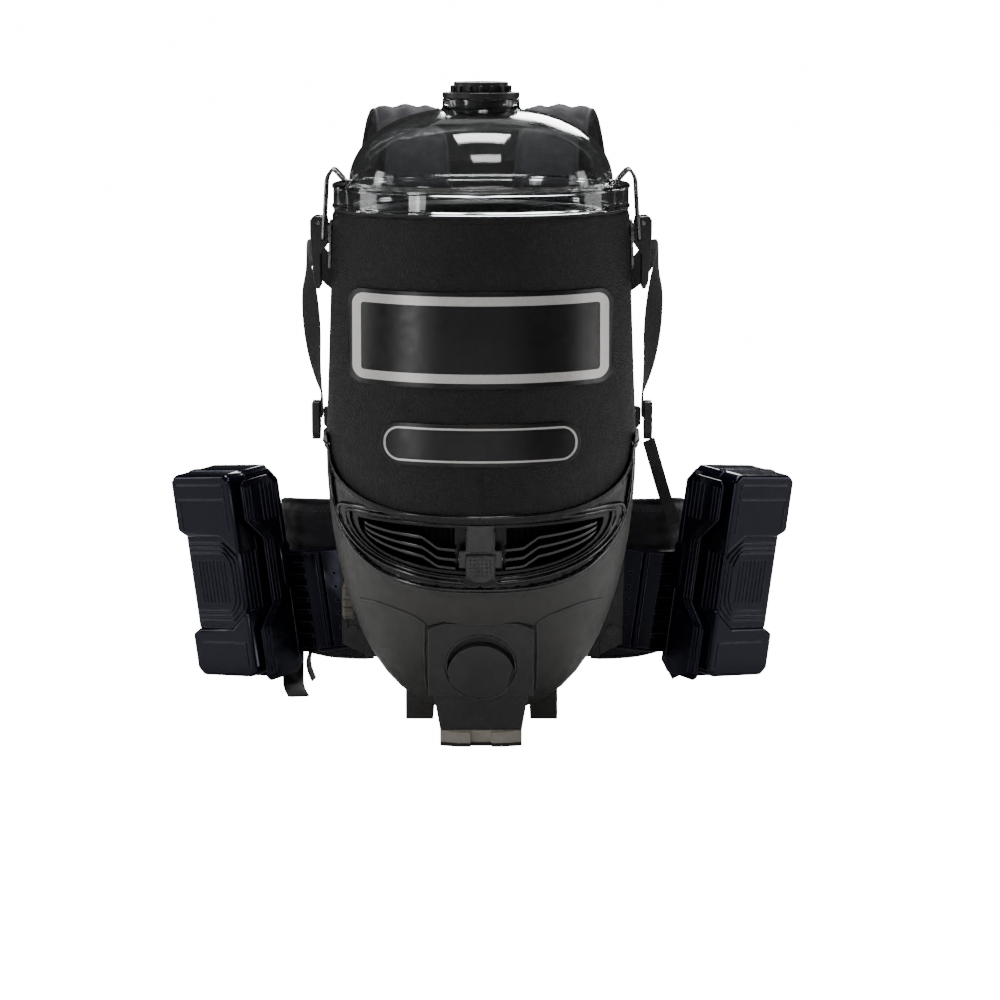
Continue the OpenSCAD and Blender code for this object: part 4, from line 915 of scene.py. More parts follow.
deck_satin = moulded("deck_satin", (0.03, 0.03, 0.03), 0.5, 1400, 0.0001)
finish(deck_satin, "motor_deck")
filter_foam = moulded("filter_foam", (0.12, 0.12, 0.125), 0.95, 700, 0.0008)
finish(filter_foam, "pre_motor_filter")
motor_cast = moulded("motor_cast", (0.4, 0.4, 0.42), 0.4, 1200, 0.0001)
finish(motor_cast, "motor", "impeller")
board_green = moulded("board_green", (0.015, 0.09, 0.035), 0.4, 1500, 0.00005)
finish(board_green, "control_board")


# ---- Back frame ----
# A stiff moulded plate of black plastic with a carrying slot, vents and a lug at each side for the webbing.
# Black screws hold the hip brackets to its wings, and the pads lie against its back.

frame_back = canister_y + 0.149
bracket_back = frame_back + 0.0042
shoulder_z = 0.452
hip_z = 0.105
lug_z = 0.260
lug_x = 0.148

frame_satin = moulded("frame_satin", (0.013, 0.013, 0.014), 0.42, 1500, 0.00015, wear_and_highlight=0.8)
softened("back_plate", "back_frame", frame_satin, 0.0012)
black_screw = moulded("black_screw", (0.010, 0.010, 0.010), 0.35, 1800, 0.00006, wear_and_highlight=2.0)
finish(black_screw, "frame_screws")


# ---- Back and lumbar pads ----
# Foam pads in dark navy nylon with a spacer-mesh face towards the wearer. Each cover is stuffed by a cloth
# simulation that holds its bound rim and its quilted channels, and the rim is piped and stitched.

pad_t = 0.016
seat_gap = 0.0003
pad_cell = 0.0065
blank_gap = 0.1
rim_min = 0.0014
press_depth = 0.62
press_w = 0.005
cloth_frames = 16
cloth_pressure = 2.5
cloth_slack = -0.035


def path_frames(points, across_at):
    """For each point: its place, the direction of the width, and the direction out of the face."""
    frames, last = [], len(points) - 1
    for i, p in enumerate(points):
        along = (points[min(i + 1, last)] - points[max(i - 1, 0)]).normalized()
        face = along.cross(Vector(across_at(i / last))).normalized()
        frames.append((p, face.cross(along).normalized(), face))
    return frames


def laid_grid(name, columns, rows):
    """A closed double sheet with its own UV map, ready to be laid along a path."""
    deselect()
    bpy.ops.mesh.primitive_grid_add(x_subdivisions=columns, y_subdivisions=rows, size=1)
    piece = bpy.context.active_object
    piece.name = name
    flat = [(v.co.x + 0.5, v.co.y + 0.5) for v in piece.data.vertices]
    wall = piece.modifiers.new("cover", "SOLIDIFY")
    wall.thickness = blank_gap
    wall.offset = -1
    apply_modifiers(piece)
    return piece, flat


def path_length(frames):
    return sum((after[0] - before[0]).length for before, after in zip(frames, frames[1:]))


def scale_uv(piece, width, length):
    for loop in piece.data.uv_layers.active.data:
        loop.uv = (loop.uv[0] * width, loop.uv[1] * length)


def blow_up(piece, seams, cap):
    """Fills a cover by cloth pressure. Seams stay put, and no point moves further than the cap."""
    held = piece.vertex_groups.new(name="seams")
    held.add(seams, 1.0, "REPLACE")
    start = [vertex.co.copy() for vertex in piece.data.vertices]
    cloth = piece.modifiers.new("stuffing", "CLOTH")
    cloth.settings.vertex_group_mass = "seams"
    cloth.settings.use_pressure = True
    cloth.settings.uniform_pressure_force = cloth_pressure
    cloth.settings.shrink_min = cloth_slack
    cloth.settings.tension_stiffness = 12
    cloth.settings.bending_stiffness = 0.3
    cloth.settings.effector_weights.gravity = 0
    cloth.collision_settings.use_collision = False
    scene = bpy.context.scene
    for step in range(1, cloth_frames + 1):
        scene.frame_set(step)
    settled = piece.evaluated_get(bpy.context.evaluated_depsgraph_get())
    moved = [vertex.co.copy() for vertex in settled.data.vertices]
    piece.modifiers.remove(cloth)
    scene.frame_set(1)
    for vertex, first, final in zip(piece.data.vertices, start, moved):
        travel = final - first
        if travel.length > cap:
            travel *= cap / travel.length
        vertex.co = first + travel
    piece.vertex_groups.clear()


def stuffed(name, frames, width_at, thickness, channels=(), cross_seams=(), flat_side=0, cap=0.003):
    """A pad's cover along its frames, stuffed between its rim, its long channels and its cross seams."""
    rows = len(frames) - 1
    length = path_length(frames)
    widest = max(width_at(length * k / 20, length) for k in range(21))
    columns = max(10, round(widest / pad_cell))
    piece, flat = laid_grid(name, columns, rows)
    count = len(flat)
    seams = []
    for k, vertex in enumerate(piece.data.vertices):
        u, v = flat[k % count]
        side = -1 if k < count else 1
        p, across, face = frames[round(v * rows)]
        offset = 2 * u - 1
        half = width_at(v * length, length) / 2
        crown = 9 if side == flat_side else 3
        end = max(min(v, 1 - v) * length, 0)
        rim = max(1 - abs(offset) ** crown, 0) ** 0.5
        rim *= min(1, end / (0.75 * thickness)) ** 0.5
        press = 1.0
        if side != flat_side:
            for channel in channels:
                press *= 1 - press_depth * math.exp(-((abs(offset) * half - channel) / press_w) ** 2)
            for seam in cross_seams:
                press *= 1 - press_depth * math.exp(-((v * length - seam) / press_w) ** 2)
        depth = max(thickness / 2 * rim * press, rim_min)
        vertex.co = p + across * offset * half + face * side * depth
        if abs(offset) > 0.999 or v < 0.001 or v > 0.999 or press < 0.62 or side == flat_side:
            seams.append(k)
    scale_uv(piece, widest, length)
    piece.data.materials.append(pad_nylon)
    piece.data.materials.append(spacer_mesh)
    for polygon in piece.data.polygons:
        polygon.material_index = 1 if all(k >= count for k in polygon.vertices) else 0
    face_outwards(piece)
    blow_up(piece, seams, cap)
    round_off = piece.modifiers.new("round_off", "SUBSURF")
    round_off.levels = round_off.render_levels = 1
    apply_modifiers(piece)
    smooth_by_angle(piece, 70)
    return piece


def rim_points(frames, width_at):
    """The points of a pad's rim, once round."""
    rows = len(frames) - 1
    length = path_length(frames)
    left, right = [], []
    for i, (p, across, face) in enumerate(frames):
        half = width_at(length * i / rows, length) / 2
        left.append(p - across * half)
        right.append(p + across * half)
    far = [left[-1].lerp(right[-1], k / 6) for k in range(1, 6)]
    near = [right[0].lerp(left[0], k / 6) for k in range(1, 6)]
    return left + far + right[::-1] + near


def stitches(name, cover, path, pitch=0.0052, length=0.0034, closed=False):
    """A row of thread stitches that lie on a cover's nearest surface along a path."""
    radius = 0.00045
    deselect()
    bpy.ops.mesh.primitive_uv_sphere_add(segments=6, ring_count=4, radius=1)
    pattern = bpy.context.active_object
    shape = [v.co.copy() for v in pattern.data.vertices]
    faces = [tuple(p.vertices) for p in pattern.data.polygons]
    bpy.data.objects.remove(pattern)
    track = even_path([Vector(p) for p in (list(path) + [path[0]] if closed else path)], pitch)
    verts, polys = [], []
    for a, b in zip(track, track[1:]):
        middle = (a + b) / 2
        place, normal = cover.closest_point_on_mesh(middle)[1:3]
        along = (b - a).normalized()
        across = along.cross(normal).normalized()
        out = across.cross(along).normalized()
        turn = Matrix((along * length / 2, across * radius, out * radius)).transposed()
        base = len(verts)
        verts += [place + out * radius * 0.35 + turn @ v for v in shape]
        polys += [tuple(base + k for k in face) for face in faces]
    mesh = bpy.data.meshes.new(name)
    mesh.from_pydata(verts, [], polys)
    row = bpy.data.objects.new(name, mesh)
    bpy.context.scene.collection.objects.link(row)
    smooth_by_angle(row, 80)
    return row


def woven(name, tone, pitch, depth, roughness, sheen, basket=True):
    """Woven nylon on the piece's own UV map in metres: threads with painted shade in the dips between them,
    uneven colour and a soft sheen.
    """
    material, nodes, links, shader = new_material(name)
    place = nodes.new("ShaderNodeTexCoord")
    threads = []
    for direction in ("X", "Y"):
        wave = fill(nodes.new("ShaderNodeTexWave"), Scale=0.314 / pitch, Distortion=0.6, Detail=1)
        wave.bands_direction = direction
        links.new(place.outputs["UV"], wave.inputs["Vector"])
        threads.append(wave.outputs["Fac"])
    mix = nodes.new("ShaderNodeMath")
    mix.operation = "MULTIPLY" if basket else "MAXIMUM"
    links.new(threads[0], mix.inputs[0])
    links.new(threads[1], mix.inputs[1])
    cloud = object_noise(nodes, links, 60, 5)
    dark = tuple(c * 0.72 for c in tone)
    light = tuple(min(c * 1.3, 1) for c in tone)
    base = tone_pair(nodes, links, cloud.outputs["Fac"], dark, light)
    # The dips between the threads are painted darker, as painted shade.
    thread_shade = nodes.new("ShaderNodeMix")
    thread_shade.data_type = "RGBA"
    thread_shade.blend_type = "MULTIPLY"
    fill(thread_shade, Factor=0.55)
    links.new(base, thread_shade.inputs["A"])
    links.new(tone_pair(nodes, links, mix.outputs["Value"], (0.45, 0.45, 0.45), (1, 1, 1)), thread_shade.inputs["B"])
    links.new(thread_shade.outputs["Result"], shader.inputs["Base Color"])
    fill(shader, Roughness=roughness, Sheen_Weight=sheen, Sheen_Roughness=0.5)
    bumped(nodes, links, shader, mix.outputs["Value"], depth)
    return material


pad_nylon = woven("pad_nylon", (0.0085, 0.0082, 0.0145), 0.0011, 0.00014, 0.85, 0.08)
spacer_mesh, nodes, links, shader = new_material("spacer_mesh")
place = nodes.new("ShaderNodeTexCoord")
# The holes are painted darker than the mesh between them, as painted shade inside them.
holes = fill(nodes.new("ShaderNodeTexVoronoi"), Scale=480, Randomness=0.12)
links.new(place.outputs["UV"], holes.inputs["Vector"])
links.new(tone_pair(nodes, links, holes.outputs["Distance"], (0.005, 0.005, 0.0075), (0.012, 0.0115, 0.019)),
          shader.inputs["Base Color"])
fill(shader, Roughness=0.9, Sheen_Weight=0.15)
bumped(nodes, links, shader, holes.outputs["Distance"], 0.0003)
binding_tape = moulded("binding_tape", (0.009, 0.009, 0.011), 0.8, 2600, 0.0003)
thread = moulded("thread", (0.03, 0.03, 0.036), 0.7, 4000, 0.00008)


def flat_frames(middle_y, low, high):
    """Frames of a flat upright pad, from its lower to its upper end."""
    count = round((high - low) / pad_cell)
    points = [Vector((0, middle_y, low + (high - low) * i / count)) for i in range(count + 1)]
    return path_frames(points, lambda share: (1, 0, 0))


def plate_width(half_w, corner):
    """The width along a flat pad with round corners."""
    def width(s, length):
        near = min(s, length - s)
        cut = corner - math.sqrt(max(corner ** 2 - (corner - near) ** 2, 0)) if near < corner else 0
        return 2 * (half_w - cut)
    return width


def sewn_pad(name, frames, width_at, thickness, filling, **sewing):
    """A stuffed pad with its piped rim and a row of stitches on one face."""
    pad = stuffed(name, frames, width_at, thickness, **sewing)
    rim = rim_points(frames, width_at)
    band = piping(name + "_binding", rim, 0.0024)
    inner = rim_points(frames, lambda s, length: width_at(s, length) - 0.012)
    sewing = stitches(name + "_stitches", pad, [q + frames[0][2] * 0.02 for q in inner], closed=True)
    return pad, band, sewing, filling


def place_pad(parts, node):
    pad, band, sewing, filling = parts
    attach(pad, "main")
    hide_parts(node)
    for piece, material in ((band, binding_tape), (sewing, thread)):
        dress(piece, material)


back_frames = flat_frames(frame_back + seat_gap + pad_t / 2, 0.214, 0.438)
back_parts = sewn_pad(
    "back_cushion", back_frames, plate_width(0.084, 0.024), pad_t, 0.7,
    channels=(0.012, 0.05), cross_seams=(0.075, 0.149), flat_side=-1, cap=0.0035)
place_pad(back_parts, "back_pad")
lumbar_frames = flat_frames(bracket_back + seat_gap + pad_t / 2, hip_z - 0.065, hip_z + 0.081)
lumbar_parts = sewn_pad(
    "lumbar_cushion", lumbar_frames, plate_width(0.104, 0.022), pad_t, 0.7,
    channels=(0.012, 0.06), cross_seams=(0.073,), flat_side=-1, cap=0.0035)
place_pad(lumbar_parts, "lumbar_pad")


# ---- Shoulder pads ----
# Curved foam pads in the same cloth, bound and quilted with two channels. They are sewn on at the top of the
# back pad and run over the shoulder to the chest, and the left one is the right one's mirror image.

shoulder_t = 0.013
shoulder_w = 0.060
shoulder_points = [
    (0.060, 0.0085, -0.012), (0.062, 0.014, 0.028), (0.066, 0.044, 0.068), (0.072, 0.094, 0.090),
    (0.080, 0.144, 0.078), (0.088, 0.178, 0.038), (0.094, 0.190, -0.012), (0.096, 0.186, -0.052)
]
shoulder_points = [Vector((x, frame_back + y, shoulder_z + z)) for x, y, z in shoulder_points]
shoulder_frames = path_frames(even_path(smooth_path(shoulder_points, 8), 0.0062), lambda share: (1, 0, 0))


def mirrored_parts(parts, name):
    pad, band, sewing, filling = parts
    left_pad = mirrored(pad, name)
    return left_pad, mirrored(band, name + "_binding"), mirrored(sewing, name + "_stitches"), filling


right_parts = sewn_pad("shoulder_cushion_right", shoulder_frames, plate_width(shoulder_w / 2, 0.018),
                       shoulder_t, 0.75, channels=(0.011,), cap=0.0025)
left_parts = mirrored_parts(right_parts, "shoulder_cushion_left")
place_pad(right_parts, "shoulder_pad_right")
place_pad(left_parts, "shoulder_pad_left")


# ---- Hip pads ----
# Foam wings of the waist belt in the same cloth, quilted along their length. They taper towards the front,
# where they are tucked under the belt's webbing.

hip_t = 0.014
hip_h = 0.150
hip_taper = 0.062
hip_points = [
    (0.1044, 0.0001), (0.126, 0.0007), (0.148, 0.006), (0.172, 0.026), (0.187, 0.058), (0.194, 0.097),
    (0.192, 0.139), (0.184, 0.161)
]
hip_y = bracket_back + hip_t / 2 + seat_gap
hip_points = [Vector((x, hip_y + y, hip_z)) for x, y in hip_points]
hip_frames = path_frames(even_path(smooth_path(hip_points, 8), 0.0062), lambda share: (0, 0, 1))


def hip_width(s, length):
    return hip_h - hip_taper * (s / length) ** 2


right_parts = sewn_pad("hip_cushion_right", hip_frames, hip_width, hip_t, 0.7,
                       channels=(0.018, 0.045), cap=0.003)
left_parts = mirrored_parts(right_parts, "hip_cushion_left")
place_pad(right_parts, "hip_pad_right")
place_pad(left_parts, "hip_pad_left")


# ---- Webbing ----
# Woven nylon webbing joins the shoulder pads to the frame's lugs and closes the belt and the chest strap.
# Its ends are sewn with a box of stitches, and spare ends hang loose.

web_t = 0.0018
web_w = 0.025
chest_w = 0.020
belt_w = 0.038
belt_front = frame_back + 0.238
buckle_x = lug_x + 0.007

web_weave = woven("web_weave", (0.0045, 0.0045, 0.0058), 0.0015, 0.0003, 0.72, 0.06, basket=False)


def webbing(name, frames, width):
    """A band of webbing along its frames, with thin rounded edges and a UV map in metres."""
    rows = len(frames) - 1
    piece, flat = laid_grid(name, 6, rows)
    count = len(flat)
    for k, vertex in enumerate(piece.data.vertices):
        u, v = flat[k % count]
        side = -1 if k < count else 1
        p, across, face = frames[round(v * rows)]
        offset = 2 * u - 1
        depth = web_t / 2 * (0.55 if abs(offset) > 0.99 else 1)
        vertex.co = p + across * offset * width / 2 + face * side * depth
    scale_uv(piece, width, path_length(frames))
    face_outwards(piece)
    smooth_by_angle(piece, 50)
    return piece


def sewn_end(name, web, frames, width, first, last):
    """A box of stitches with its cross, between two rows of a band's frames."""
    a, b = frames[first], frames[last]
    half = width / 2 - 0.0035
    corners = [a[0] - a[1] * half, a[0] + a[1] * half, b[0] + b[1] * half, b[0] - b[1] * half]
    lines = [corners + corners[:1], [corners[0], corners[2]], [corners[1], corners[3]]]
    rows = []
    for line in lines:
        for lift in (a[2] * 0.02, a[2] * -0.02):
            rows.append(stitches(name, web, [q + lift for q in line], 0.0042, 0.0028))
    return join(rows, name)


web_points = [
    (0.0963, 0.1856, shoulder_z - 0.0532), (0.0972, 0.185, shoulder_z - 0.064),
    (0.106, 0.184, shoulder_z - 0.082), (0.124, 0.180, shoulder_z - 0.086),
    (0.146, 0.164, shoulder_z - 0.072), (0.161, 0.130, shoulder_z - 0.050),
    (0.167, 0.092, shoulder_z - 0.046), (0.165, 0.058, shoulder_z - 0.066),
    (0.158, 0.032, lug_z + 0.060), (0.151, 0.012, lug_z + 0.028),
    (buckle_x - 0.0052, 0.003, lug_z + 0.014), (buckle_x - 0.0052, 0.002, lug_z + 0.002)
]
web_curve = even_path(smooth_path([Vector((x, frame_back + y, z)) for x, y, z in web_points], 8), 0.005)


def web_frames(points):
    """Frames of webbing that faces forwards at the chest and turns outwards by the wearer's side."""
    frames, last = [], len(points) - 1
    for i, p in enumerate(points):
        share = i / last
        angle = math.pi / 2 * max(0.0, 1 - (2 * share) ** 1.5)
        angle -= 0.75 * math.sin(math.pi * min(max((share - 0.5) / 0.42, 0), 1))
        out = Vector((math.cos(angle), math.sin(angle), 0))
        along = (points[min(i + 1, last)] - points[max(i - 1, 0)]).normalized()
        across = along.cross(out).normalized()
        frames.append((p, across, along.cross(across).normalized()))
    return frames


side_frames = web_frames(web_curve)
side_web = webbing("side_webbing_right", side_frames, web_w)
side_sewing = sewn_end("side_sewing_right", side_web, side_frames, web_w, 3, 7)
side_sewing_left = mirrored(side_sewing, "side_sewing_left")
side_web_left = mirrored(side_web, "side_webbing_left")
for web, node in ((side_web_left, "shoulder_web_left"), (side_web, "shoulder_web_right")):
    dress(web, web_weave)
    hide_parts(node)

chest_z, chest_y = shoulder_z - 0.004, frame_back + 0.198
chest_points = [(0.100, 0), (0.070, 0.002), (0.045, 0.004), (0.024, 0.004)]
chest_curve = even_path(smooth_path([Vector((x, chest_y + y, chest_z)) for x, y in chest_points], 6), 0.005)
chest_frames = path_frames(chest_curve, lambda share: (0, 0, 1))
chest_right = webbing("chest_strap_right", chest_frames, chest_w)
chest_left = mirrored(chest_right, "chest_strap_left")
chest_strap = join([chest_right, chest_left], "chest_strap")
dress(chest_strap, web_weave)
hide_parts("sternum_strap")

belt_points = [
    (0.1837, frame_back + 0.1734), (0.168, frame_back + 0.200), (0.132, frame_back + 0.222),
    (0.084, belt_front - 0.003), (0.052, belt_front), (0.0243, belt_front)
]
belt_curve = even_path(smooth_path([Vector((x, y, hip_z)) for x, y in belt_points], 6), 0.005)
belt_frames = path_frames(belt_curve, lambda share: (0, 0, 1))
belt_right = webbing("belt_right", belt_frames, belt_w)
belt_sewing = sewn_end("belt_sewing_right", belt_right, belt_frames, belt_w, 1, 6)
belt_sewing_left = mirrored(belt_sewing, "belt_sewing_left")
belt_left = mirrored(belt_right, "belt_left")
belt = join([belt_right, belt_left], "belt_webbing")
dress(belt, web_weave)
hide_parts("waist_web")
for sewing in (side_sewing, side_sewing_left, belt_sewing, belt_sewing_left):
    dress(sewing, thread)

floor_z = web_t / 2 + 0.0005
tail_runs = [
    ([(-0.181, 0.042, 0.036), (-0.181, 0.040, 0.024), (-0.181, 0.033, 0.010), (-0.180, 0.020, floor_z),
      (-0.177, -0.004, floor_z), (-0.172, -0.032, floor_z)], (1, 0.1, 0), 0.020),
    ([(-0.163, 0.029, 0.0338), (-0.166, 0.030, 0.024), (-0.165, 0.031, 0.014), (-0.161, 0.031, 0.004)],
     (0.2, 1, 0), 0.016),
    ([(0.181, 0.042, 0.0363), (0.182, 0.0416, 0.027), (0.185, 0.040, 0.017), (0.190, 0.038, 0.007)],
     (1, 0.3, 0), 0.020),
    ([(0.156, 0.004, lug_z - 0.021), (0.163, 0.006, lug_z - 0.045), (0.172, 0.008, lug_z - 0.075),
      (0.181, 0.008, lug_z - 0.101)], (1, 0.7, 0), 0.014),
]
tails = []
for k, (run, across, width) in enumerate(tail_runs):
    curve = smooth_path([Vector((x, frame_back + y, z)) for x, y, z in run], 6)
    curve = even_path([Vector((p.x, p.y, max(p.z, floor_z))) for p in curve], 0.004)
    tail_frames = path_frames(curve, lambda share, across=across: across)
    tails.append(webbing(f"tail_{k}", tail_frames, width))
loose_tails = join(tails, "loose_tails")
dress(loose_tails, web_weave)
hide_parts("strap_tails")


# ---- Buckles ----
# Moulded black buckles that the webbing is threaded through: a ladder buckle at each of the frame's lugs, a
# clip on the chest strap and a broad side-release buckle on the belt.

buckle_satin = moulded("buckle_satin", (0.012, 0.012, 0.013), 0.36, 1600, 0.0001, wear_and_highlight=1.4)
softened("ladder_buckle_left", "web_buckle_left", buckle_satin, 0.0012, segments=3)
softened("ladder_buckle_right", "web_buckle_right", buckle_satin, 0.0012, segments=3)
softened("chest_clip", "sternum_buckle", buckle_satin, 0.0016, segments=3)
softened("belt_buckle", "waist_buckle", buckle_satin, 0.0018, segments=3)


# ---- Hip brackets and docks ----
# A folded plate with ridges, rivets and a rolled fold carries each battery dock, both in gloss blue-black
# plastic. The dock is a tray whose near cheek is deep, with a notch in each cheek, fins and a release.

pod_yaw = math.radians(40)
pod_lean = math.radians(7.5)
fold_x = 0.165
pod_x = 0.216
pod_z = 0.115
pack_half_w = 0.039
pack_half_h = 0.097
pack_base = 0.0034
pack_face = pack_base + 0.056
dock_half_w = pack_half_w + 0.0036
dock_half_h = pack_half_h + 0.0036
dock_d = 0.028
cheek_d = 0.050
dock_wall = 0.003
notch_edge = 0.052
notch_floor = 0.031
notch_d = 0.020
bracket_t = 0.004
switch_at = (dock_half_w + dock_wall, -0.013, 0.071)
switch_bore = 0.0077
switch_ring = 0.0088
bracket_y = frame_back + 0.0002
pod_y = bracket_y + (pod_x - fold_x) * math.tan(pod_yaw) - 0.0003 / math.cos(pod_yaw)
pod_lie = Matrix.Translation((pod_x, pod_y, pod_z)) @ Matrix.Rotation(pod_lean, 4, "Y")
pod_place = pod_lie @ Matrix.Rotation(pod_yaw, 4, "Z")

pod_tint = (0.74, 0.76, 1.0)
# At this strength the edge lightening paints highlights along the pods' raised lines.
pod_gloss = moulded("pod_gloss", (0.0026, 0.0028, 0.0070), 0.15, 1500, 0.00003, shine=0.3, wear_and_highlight=4.0,
                    tint=pod_tint)
# At this strength the edge lightening paints bright highlights along the bracket's ridges, hems and rivets.
bracket_gloss = moulded("bracket_gloss", (0.0016, 0.0017, 0.0038), 0.13, 1500, 0.00002, shine=0.16,
                        wear_and_highlight=32.0, tint=pod_tint)


def bead(points, radius):
    """A raised moulded line on a pod, between points given across, out and up."""
    return wire("bead", [(x, -out, z) for x, out, z in points], radius, 2)


def placed(pieces, name, place=pod_place):
    """Joins a right pod's pieces and puts them in place."""
    whole = join(pieces, name)
    whole.data.transform(place)
    return whole


def pod_pair(pieces, name, place=pod_place):
    """The left and the right of two like pieces."""
    right = placed(pieces, name + "_right", place)
    return mirrored(right, name + "_left"), right


def bracket_pieces():
    """The folded plate, its rolled fold and hems, its ridges and its rivets, in the leaning frame."""
    start, bend = 0.112 - pod_x, fold_x - pod_x
    front, reach = bracket_y - pod_y, 0.078
    low, high = -0.086, 0.013
    turn = Vector((math.cos(pod_yaw), math.sin(pod_yaw)))
    line = [Vector((start, front)), Vector((bend - 0.008, front))]
    for k in range(1, 8):
        angle = pod_yaw * k / 8
        line.append(Vector((bend - 0.008, front)) + 0.0245 * Vector((math.sin(angle), 1 - math.cos(angle))))
    line += [Vector((bend, front)) + turn * 0.010, Vector((bend, front)) + turn * reach]
    normals = []
    for i in range(len(line)):
        along = (line[min(i + 1, len(line) - 1)] - line[max(i - 1, 0)]).normalized()
        normals.append(Vector((-along.y, along.x)))
    back = [p + n * bracket_t for p, n in zip(line, normals)]
    corners = ((line, low), (line, high), (back, high), (back, low))
    rails = [[Vector((*p, z)) for p in side] for side, z in corners]
    plate = swept_bar("bracket_plate", rails, False)
    round_edges(plate, 0.0012, 3)
    pieces = [plate]
    for z in (low + 0.0022, high - 0.0022):
        pieces.append(wire("hem", [Vector((*(p - n * 0.0002), z)) for p, n in zip(line, normals)], 0.0016, 2))
    fold = Vector((bend - 0.012, front + 0.0012))
    pieces.append(wire("roll", [(*fold, low + 0.004), (*fold, high - 0.004)], 0.0034, 4))
    for i in range(7):
        z = low + 0.0165 + 0.0115 * i
        ends = [Vector((bend, front)) + turn * d - Vector((-turn.y, turn.x)) * 0.0003 for d in (0.004, 0.026)]
        pieces.append(wire("ridge", [(*ends[0], z), (*ends[1], z)], 0.0018, 3))
    for i in range(5):
        pieces.append(dome_stud((bend - 0.024, front - 0.0002, low + 0.022 + 0.013 * i), 0.0017))
    return pieces


def bored(piece, place, radius):
    """Bores a round hole through a piece, sideways."""
    deselect()
    bpy.ops.mesh.primitive_cylinder_add(vertices=48, radius=radius, depth=0.03, location=place,
                                        rotation=(0, math.pi / 2, 0))
    drill = bpy.context.active_object
    bore = piece.modifiers.new("bore", "BOOLEAN")
    bore.operation = "DIFFERENCE"
    bore.solver = "EXACT"
    bore.object = drill
    apply_modifiers(piece)
    bpy.data.objects.remove(drill)
    smooth_by_angle(piece)


def dock_pieces(with_switch=False):
    """A tray: back wall, floor, two notched cheeks with fins and the release's housing."""
    w, h, c = dock_half_w + dock_wall, dock_half_h + dock_wall, 0.010
    crest, top = 0.092, 0.090
    back = [(-w, -h + c), (-w + c, -h), (w - c, -h), (w, -h + c), (w, crest - c), (w - c, crest),
            (-w + c, crest), (-w, crest - c)]
    floor_wall = [(-w + c, -h), (w - c, -h), (w - c, dock_wall - h), (-w + c, dock_wall - h)]
    pieces = [outline_solid("dock_back", back, 0.0, dock_wall, 0.0012),
              outline_solid("dock_floor", floor_wall, 0.001, dock_d, 0.0009)]
    for side in (-1, 1):
        near_side = side < 0
        switched = with_switch and not near_side
        deep = cheek_d if near_side else dock_d
        cheek = [(0.001, -h + c), (c, -h + 0.001), (deep - 0.004, -h + 0.001), (deep, -h + 0.005),
                 (deep, -notch_edge), (deep - notch_d, -notch_floor), (deep - notch_d, notch_floor),
                 (deep, notch_edge), (deep, top - 0.005), (deep - 0.004, top - 0.001),
                 (c + 0.004, top - 0.001), (0.001, top - 0.014)]
        inside, outside = sorted((side * (w - dock_wall), side * w))
        pieces.append(outline_solid("dock_cheek", cheek, inside, outside, 0.0012, 3, True))
        if switched:
            bored(pieces[-1], switch_at, switch_bore)
        x = side * (w - 0.0003)
        for k in range(3 if near_side else 1):
            out = deep - 0.003 - 0.0042 * k
            pieces.append(bead([
                (x, out, top - 0.008), (x, out, notch_edge - 0.001), (x, out - notch_d, notch_floor - 0.001),
                (x, out - notch_d, 0.001 - notch_floor), (x, out, 0.001 - notch_edge), (x, out, 0.008 - h)
            ], 0.0012))
        fins = 4 if near_side else 2
        for i in range(0 if switched else fins):
            out = 0.010 + 0.0052 * i
            pieces.append(bead([(x, out, 0.048), (x, out, 0.082)], 0.0015))
        pieces.append(bead([(x, 0.005, top - 0.016), (x, 0.005, 0.012 - h)], 0.0012))
    house = [(0.0125, -0.018), (0.0125, 0.018), (0.0105, 0.022), (0.0015, 0.022), (0.0005, 0.018),
             (0.0005, -0.018), (0.0015, -0.022), (0.0105, -0.022)]
    pieces.append(outline_solid("release_house", house, -w - 0.0024, -w + 0.0006, 0.0008, 2, True))
    return pieces


def switch_pieces():
    """The switch's housing on the left dock's far cheek, with a collar round its button."""
    w = dock_half_w + dock_wall
    house = [(0.002, 0.058), (0.002, 0.084), (0.005, 0.087), (0.021, 0.087), (0.024, 0.084), (0.024, 0.058),
             (0.021, 0.055), (0.005, 0.055)]
    housing = outline_solid("switch_house", house, w - 0.0005, w + 0.0028, 0.0008, 2, True)
    bored(housing, switch_at, switch_bore)
    ring = []
    for k in range(28):
        angle = math.tau * k / 28
        ring.append((w + 0.0028, switch_at[1] + switch_ring * math.cos(angle),
                     switch_at[2] + switch_ring * math.sin(angle)))
    return [housing, piping("switch_collar", ring, 0.0014)]


for bracket, side in zip(pod_pair(bracket_pieces(), "bracket", pod_lie), ("left", "right")):
    dress(bracket, bracket_gloss)
    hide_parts("hip_bracket_" + side)
dock_right = placed(dock_pieces(), "pod_dock_right")
switched_right = placed(dock_pieces(True) + switch_pieces(), "pod_dock_switched")
dock_left = mirrored(switched_right, "pod_dock_left")
bpy.data.objects.remove(switched_right)
for dock, side in ((dock_left, "left"), (dock_right, "right")):
    dress(dock, pod_gloss)
    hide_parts("dock_" + side)
release_satin = moulded("release_satin", (0.01, 0.01, 0.01), 0.36, 1500, 0.0001, wear_and_highlight=2.0)
softened("release_key_left", "release_left", release_satin, 0.0012, "release_left_body", 3)
softened("release_key_right", "release_right", release_satin, 0.0012, "release_right_body", 3)
switch_red = moulded("switch_red", (0.35, 0.02, 0.012), 0.3, 1500, 0.00005)
softened("power_switch", "power_button", switch_red, 0.0008, "switch", 3)


# ---- Battery packs ----
# Each pack is a deep gloss case in two halves: stacked flange lines follow the dock's notches, a raised upper
# and lower block leave a narrower grip between them, and nested half-hexagons with ribs fill the grip's face.

block_edge = 0.0034
grip_top = 0.037
grip_low = -0.050
grip_face = pack_face - 0.0048
slant = 0.024
block_base = 0.034
flange_out = 0.0305


